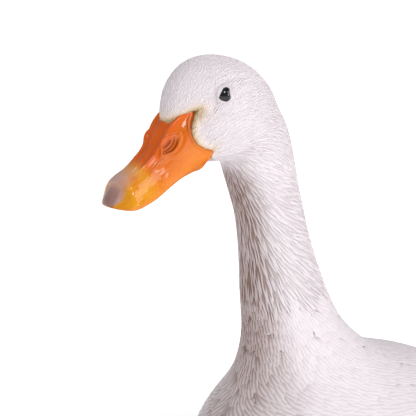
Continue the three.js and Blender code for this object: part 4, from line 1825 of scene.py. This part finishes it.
@dataclass
class Studio:
    """The floor, the lights and the camera."""

    azimuth: float = 55.0
    elevation: float = 15.0
    distance: float = 1.7
    per_pixel: float = 0.00059
    pixels: int = 416
    aim: tuple[float, float, float] = (0.0243, -0.1595, 0.445)
    aim_pixel: tuple[float, float] = (225.5, 94.5)
    lit: tuple[float, float, float] = (0.0, -0.08, 0.35)  # what the lamps shine at
    sky: float = 0.3
    lamps: tuple[Lamp, ...] = (
        Lamp("key", (1.05, 0.62, 0.95), 0.8, 8.5, (1.0, 0.985, 0.98)),
        Lamp("fill", (-0.95, 0.95, 1.2), 0.3, 0.9, (1.0, 0.98, 0.98)),
        Lamp("panel", (1.02, 0.0, 1.28), 0.36, 3.3, (1.0, 0.99, 0.98)),
        Lamp("top", (-0.1, 1.7, -0.2), 0.8, 6.2, (0.98, 0.99, 1.0)),
        Lamp("spark", (-0.12, 0.95, 1.5), 0.34, 6.6, (0.98, 0.99, 1.0)),
    )

    def directions(self) -> tuple[Array, Array, Array]:
        """The camera's right, up and back."""
        a, e = math.radians(self.azimuth), math.radians(self.elevation)
        back = np.array([math.sin(a) * math.cos(e), -math.cos(a) * math.cos(e), math.sin(e)])
        right = np.array([math.cos(a), math.sin(a), 0.0])
        return right, np.cross(back, right), back

    def camera(self) -> None:
        """Sets the camera."""
        right, up, back = self.directions()
        half = self.pixels / 2
        centre = np.array(self.aim)
        centre = centre + right * (half - self.aim_pixel[0]) * self.per_pixel
        centre = centre - up * (half - self.aim_pixel[1]) * self.per_pixel
        data = bpy.data.cameras.new("camera")
        data.sensor_width = 36.0
        data.lens = 36.0 * self.distance / self.per_pixel / self.pixels
        data.clip_end = 20.0
        camera = bpy.data.objects.new("camera", data)
        camera.location = centre + back * self.distance
        camera.rotation_euler = Vector(back).to_track_quat("Z", "Y").to_euler()
        bpy.context.scene.collection.objects.link(camera)
        bpy.context.scene.camera = camera

    def lights(self) -> None:
        """Hangs the lamps, a large soft key from the right before all, and lights the sky evenly."""
        for lamp in self.lamps:
            lamp.hang(self.directions(), np.array(self.lit))
        world = bpy.data.worlds.new("studio")
        world.use_nodes = True
        background = world.node_tree.nodes["Background"]
        background.inputs[0].default_value = (1.0, 1.0, 1.0, 1.0)
        background.inputs[1].default_value = self.sky
        bpy.context.scene.world = world
        bpy.context.scene.view_settings.view_transform = "Standard"

    @staticmethod
    def floor(finish: bpy.types.Material) -> None:
        """A plain floor."""
        bm = bmesh.new()
        bmesh.ops.create_circle(bm, cap_ends=True, segments=64, radius=30.0)
        bmesh.ops.translate(bm, vec=(0, 0, -0.0002), verts=bm.verts[:])
        obj = from_bmesh("floor", bm)
        obj.data.materials.append(finish)


def main() -> None:
    """Builds the duck and its studio."""
    logging.basicConfig(level=logging.INFO, format="%(message)s")
    studio = Studio()
    studio.camera()
    studio.lights()
    studio.floor(FloorFinish().build())
    plumage_paint = PlumageFinish().build()
    skin = Skin().build(plumage_paint)
    ground = Ground(skin)
    bill_paint, leg_paint = BillFinish().build(), LegFinish().build()
    Bill().build(bill_paint)
    Eyes().build(EyeFinish().build())
    Legs().build(leg_paint, ClawFinish().build())
    for coat in Plumage().coats():
        coat.build(ground, plumage_paint)
    FlightFeathers().build(ground, plumage_paint)
    TailFan().build(ground, plumage_paint)


if __name__ == "__main__":
    main()
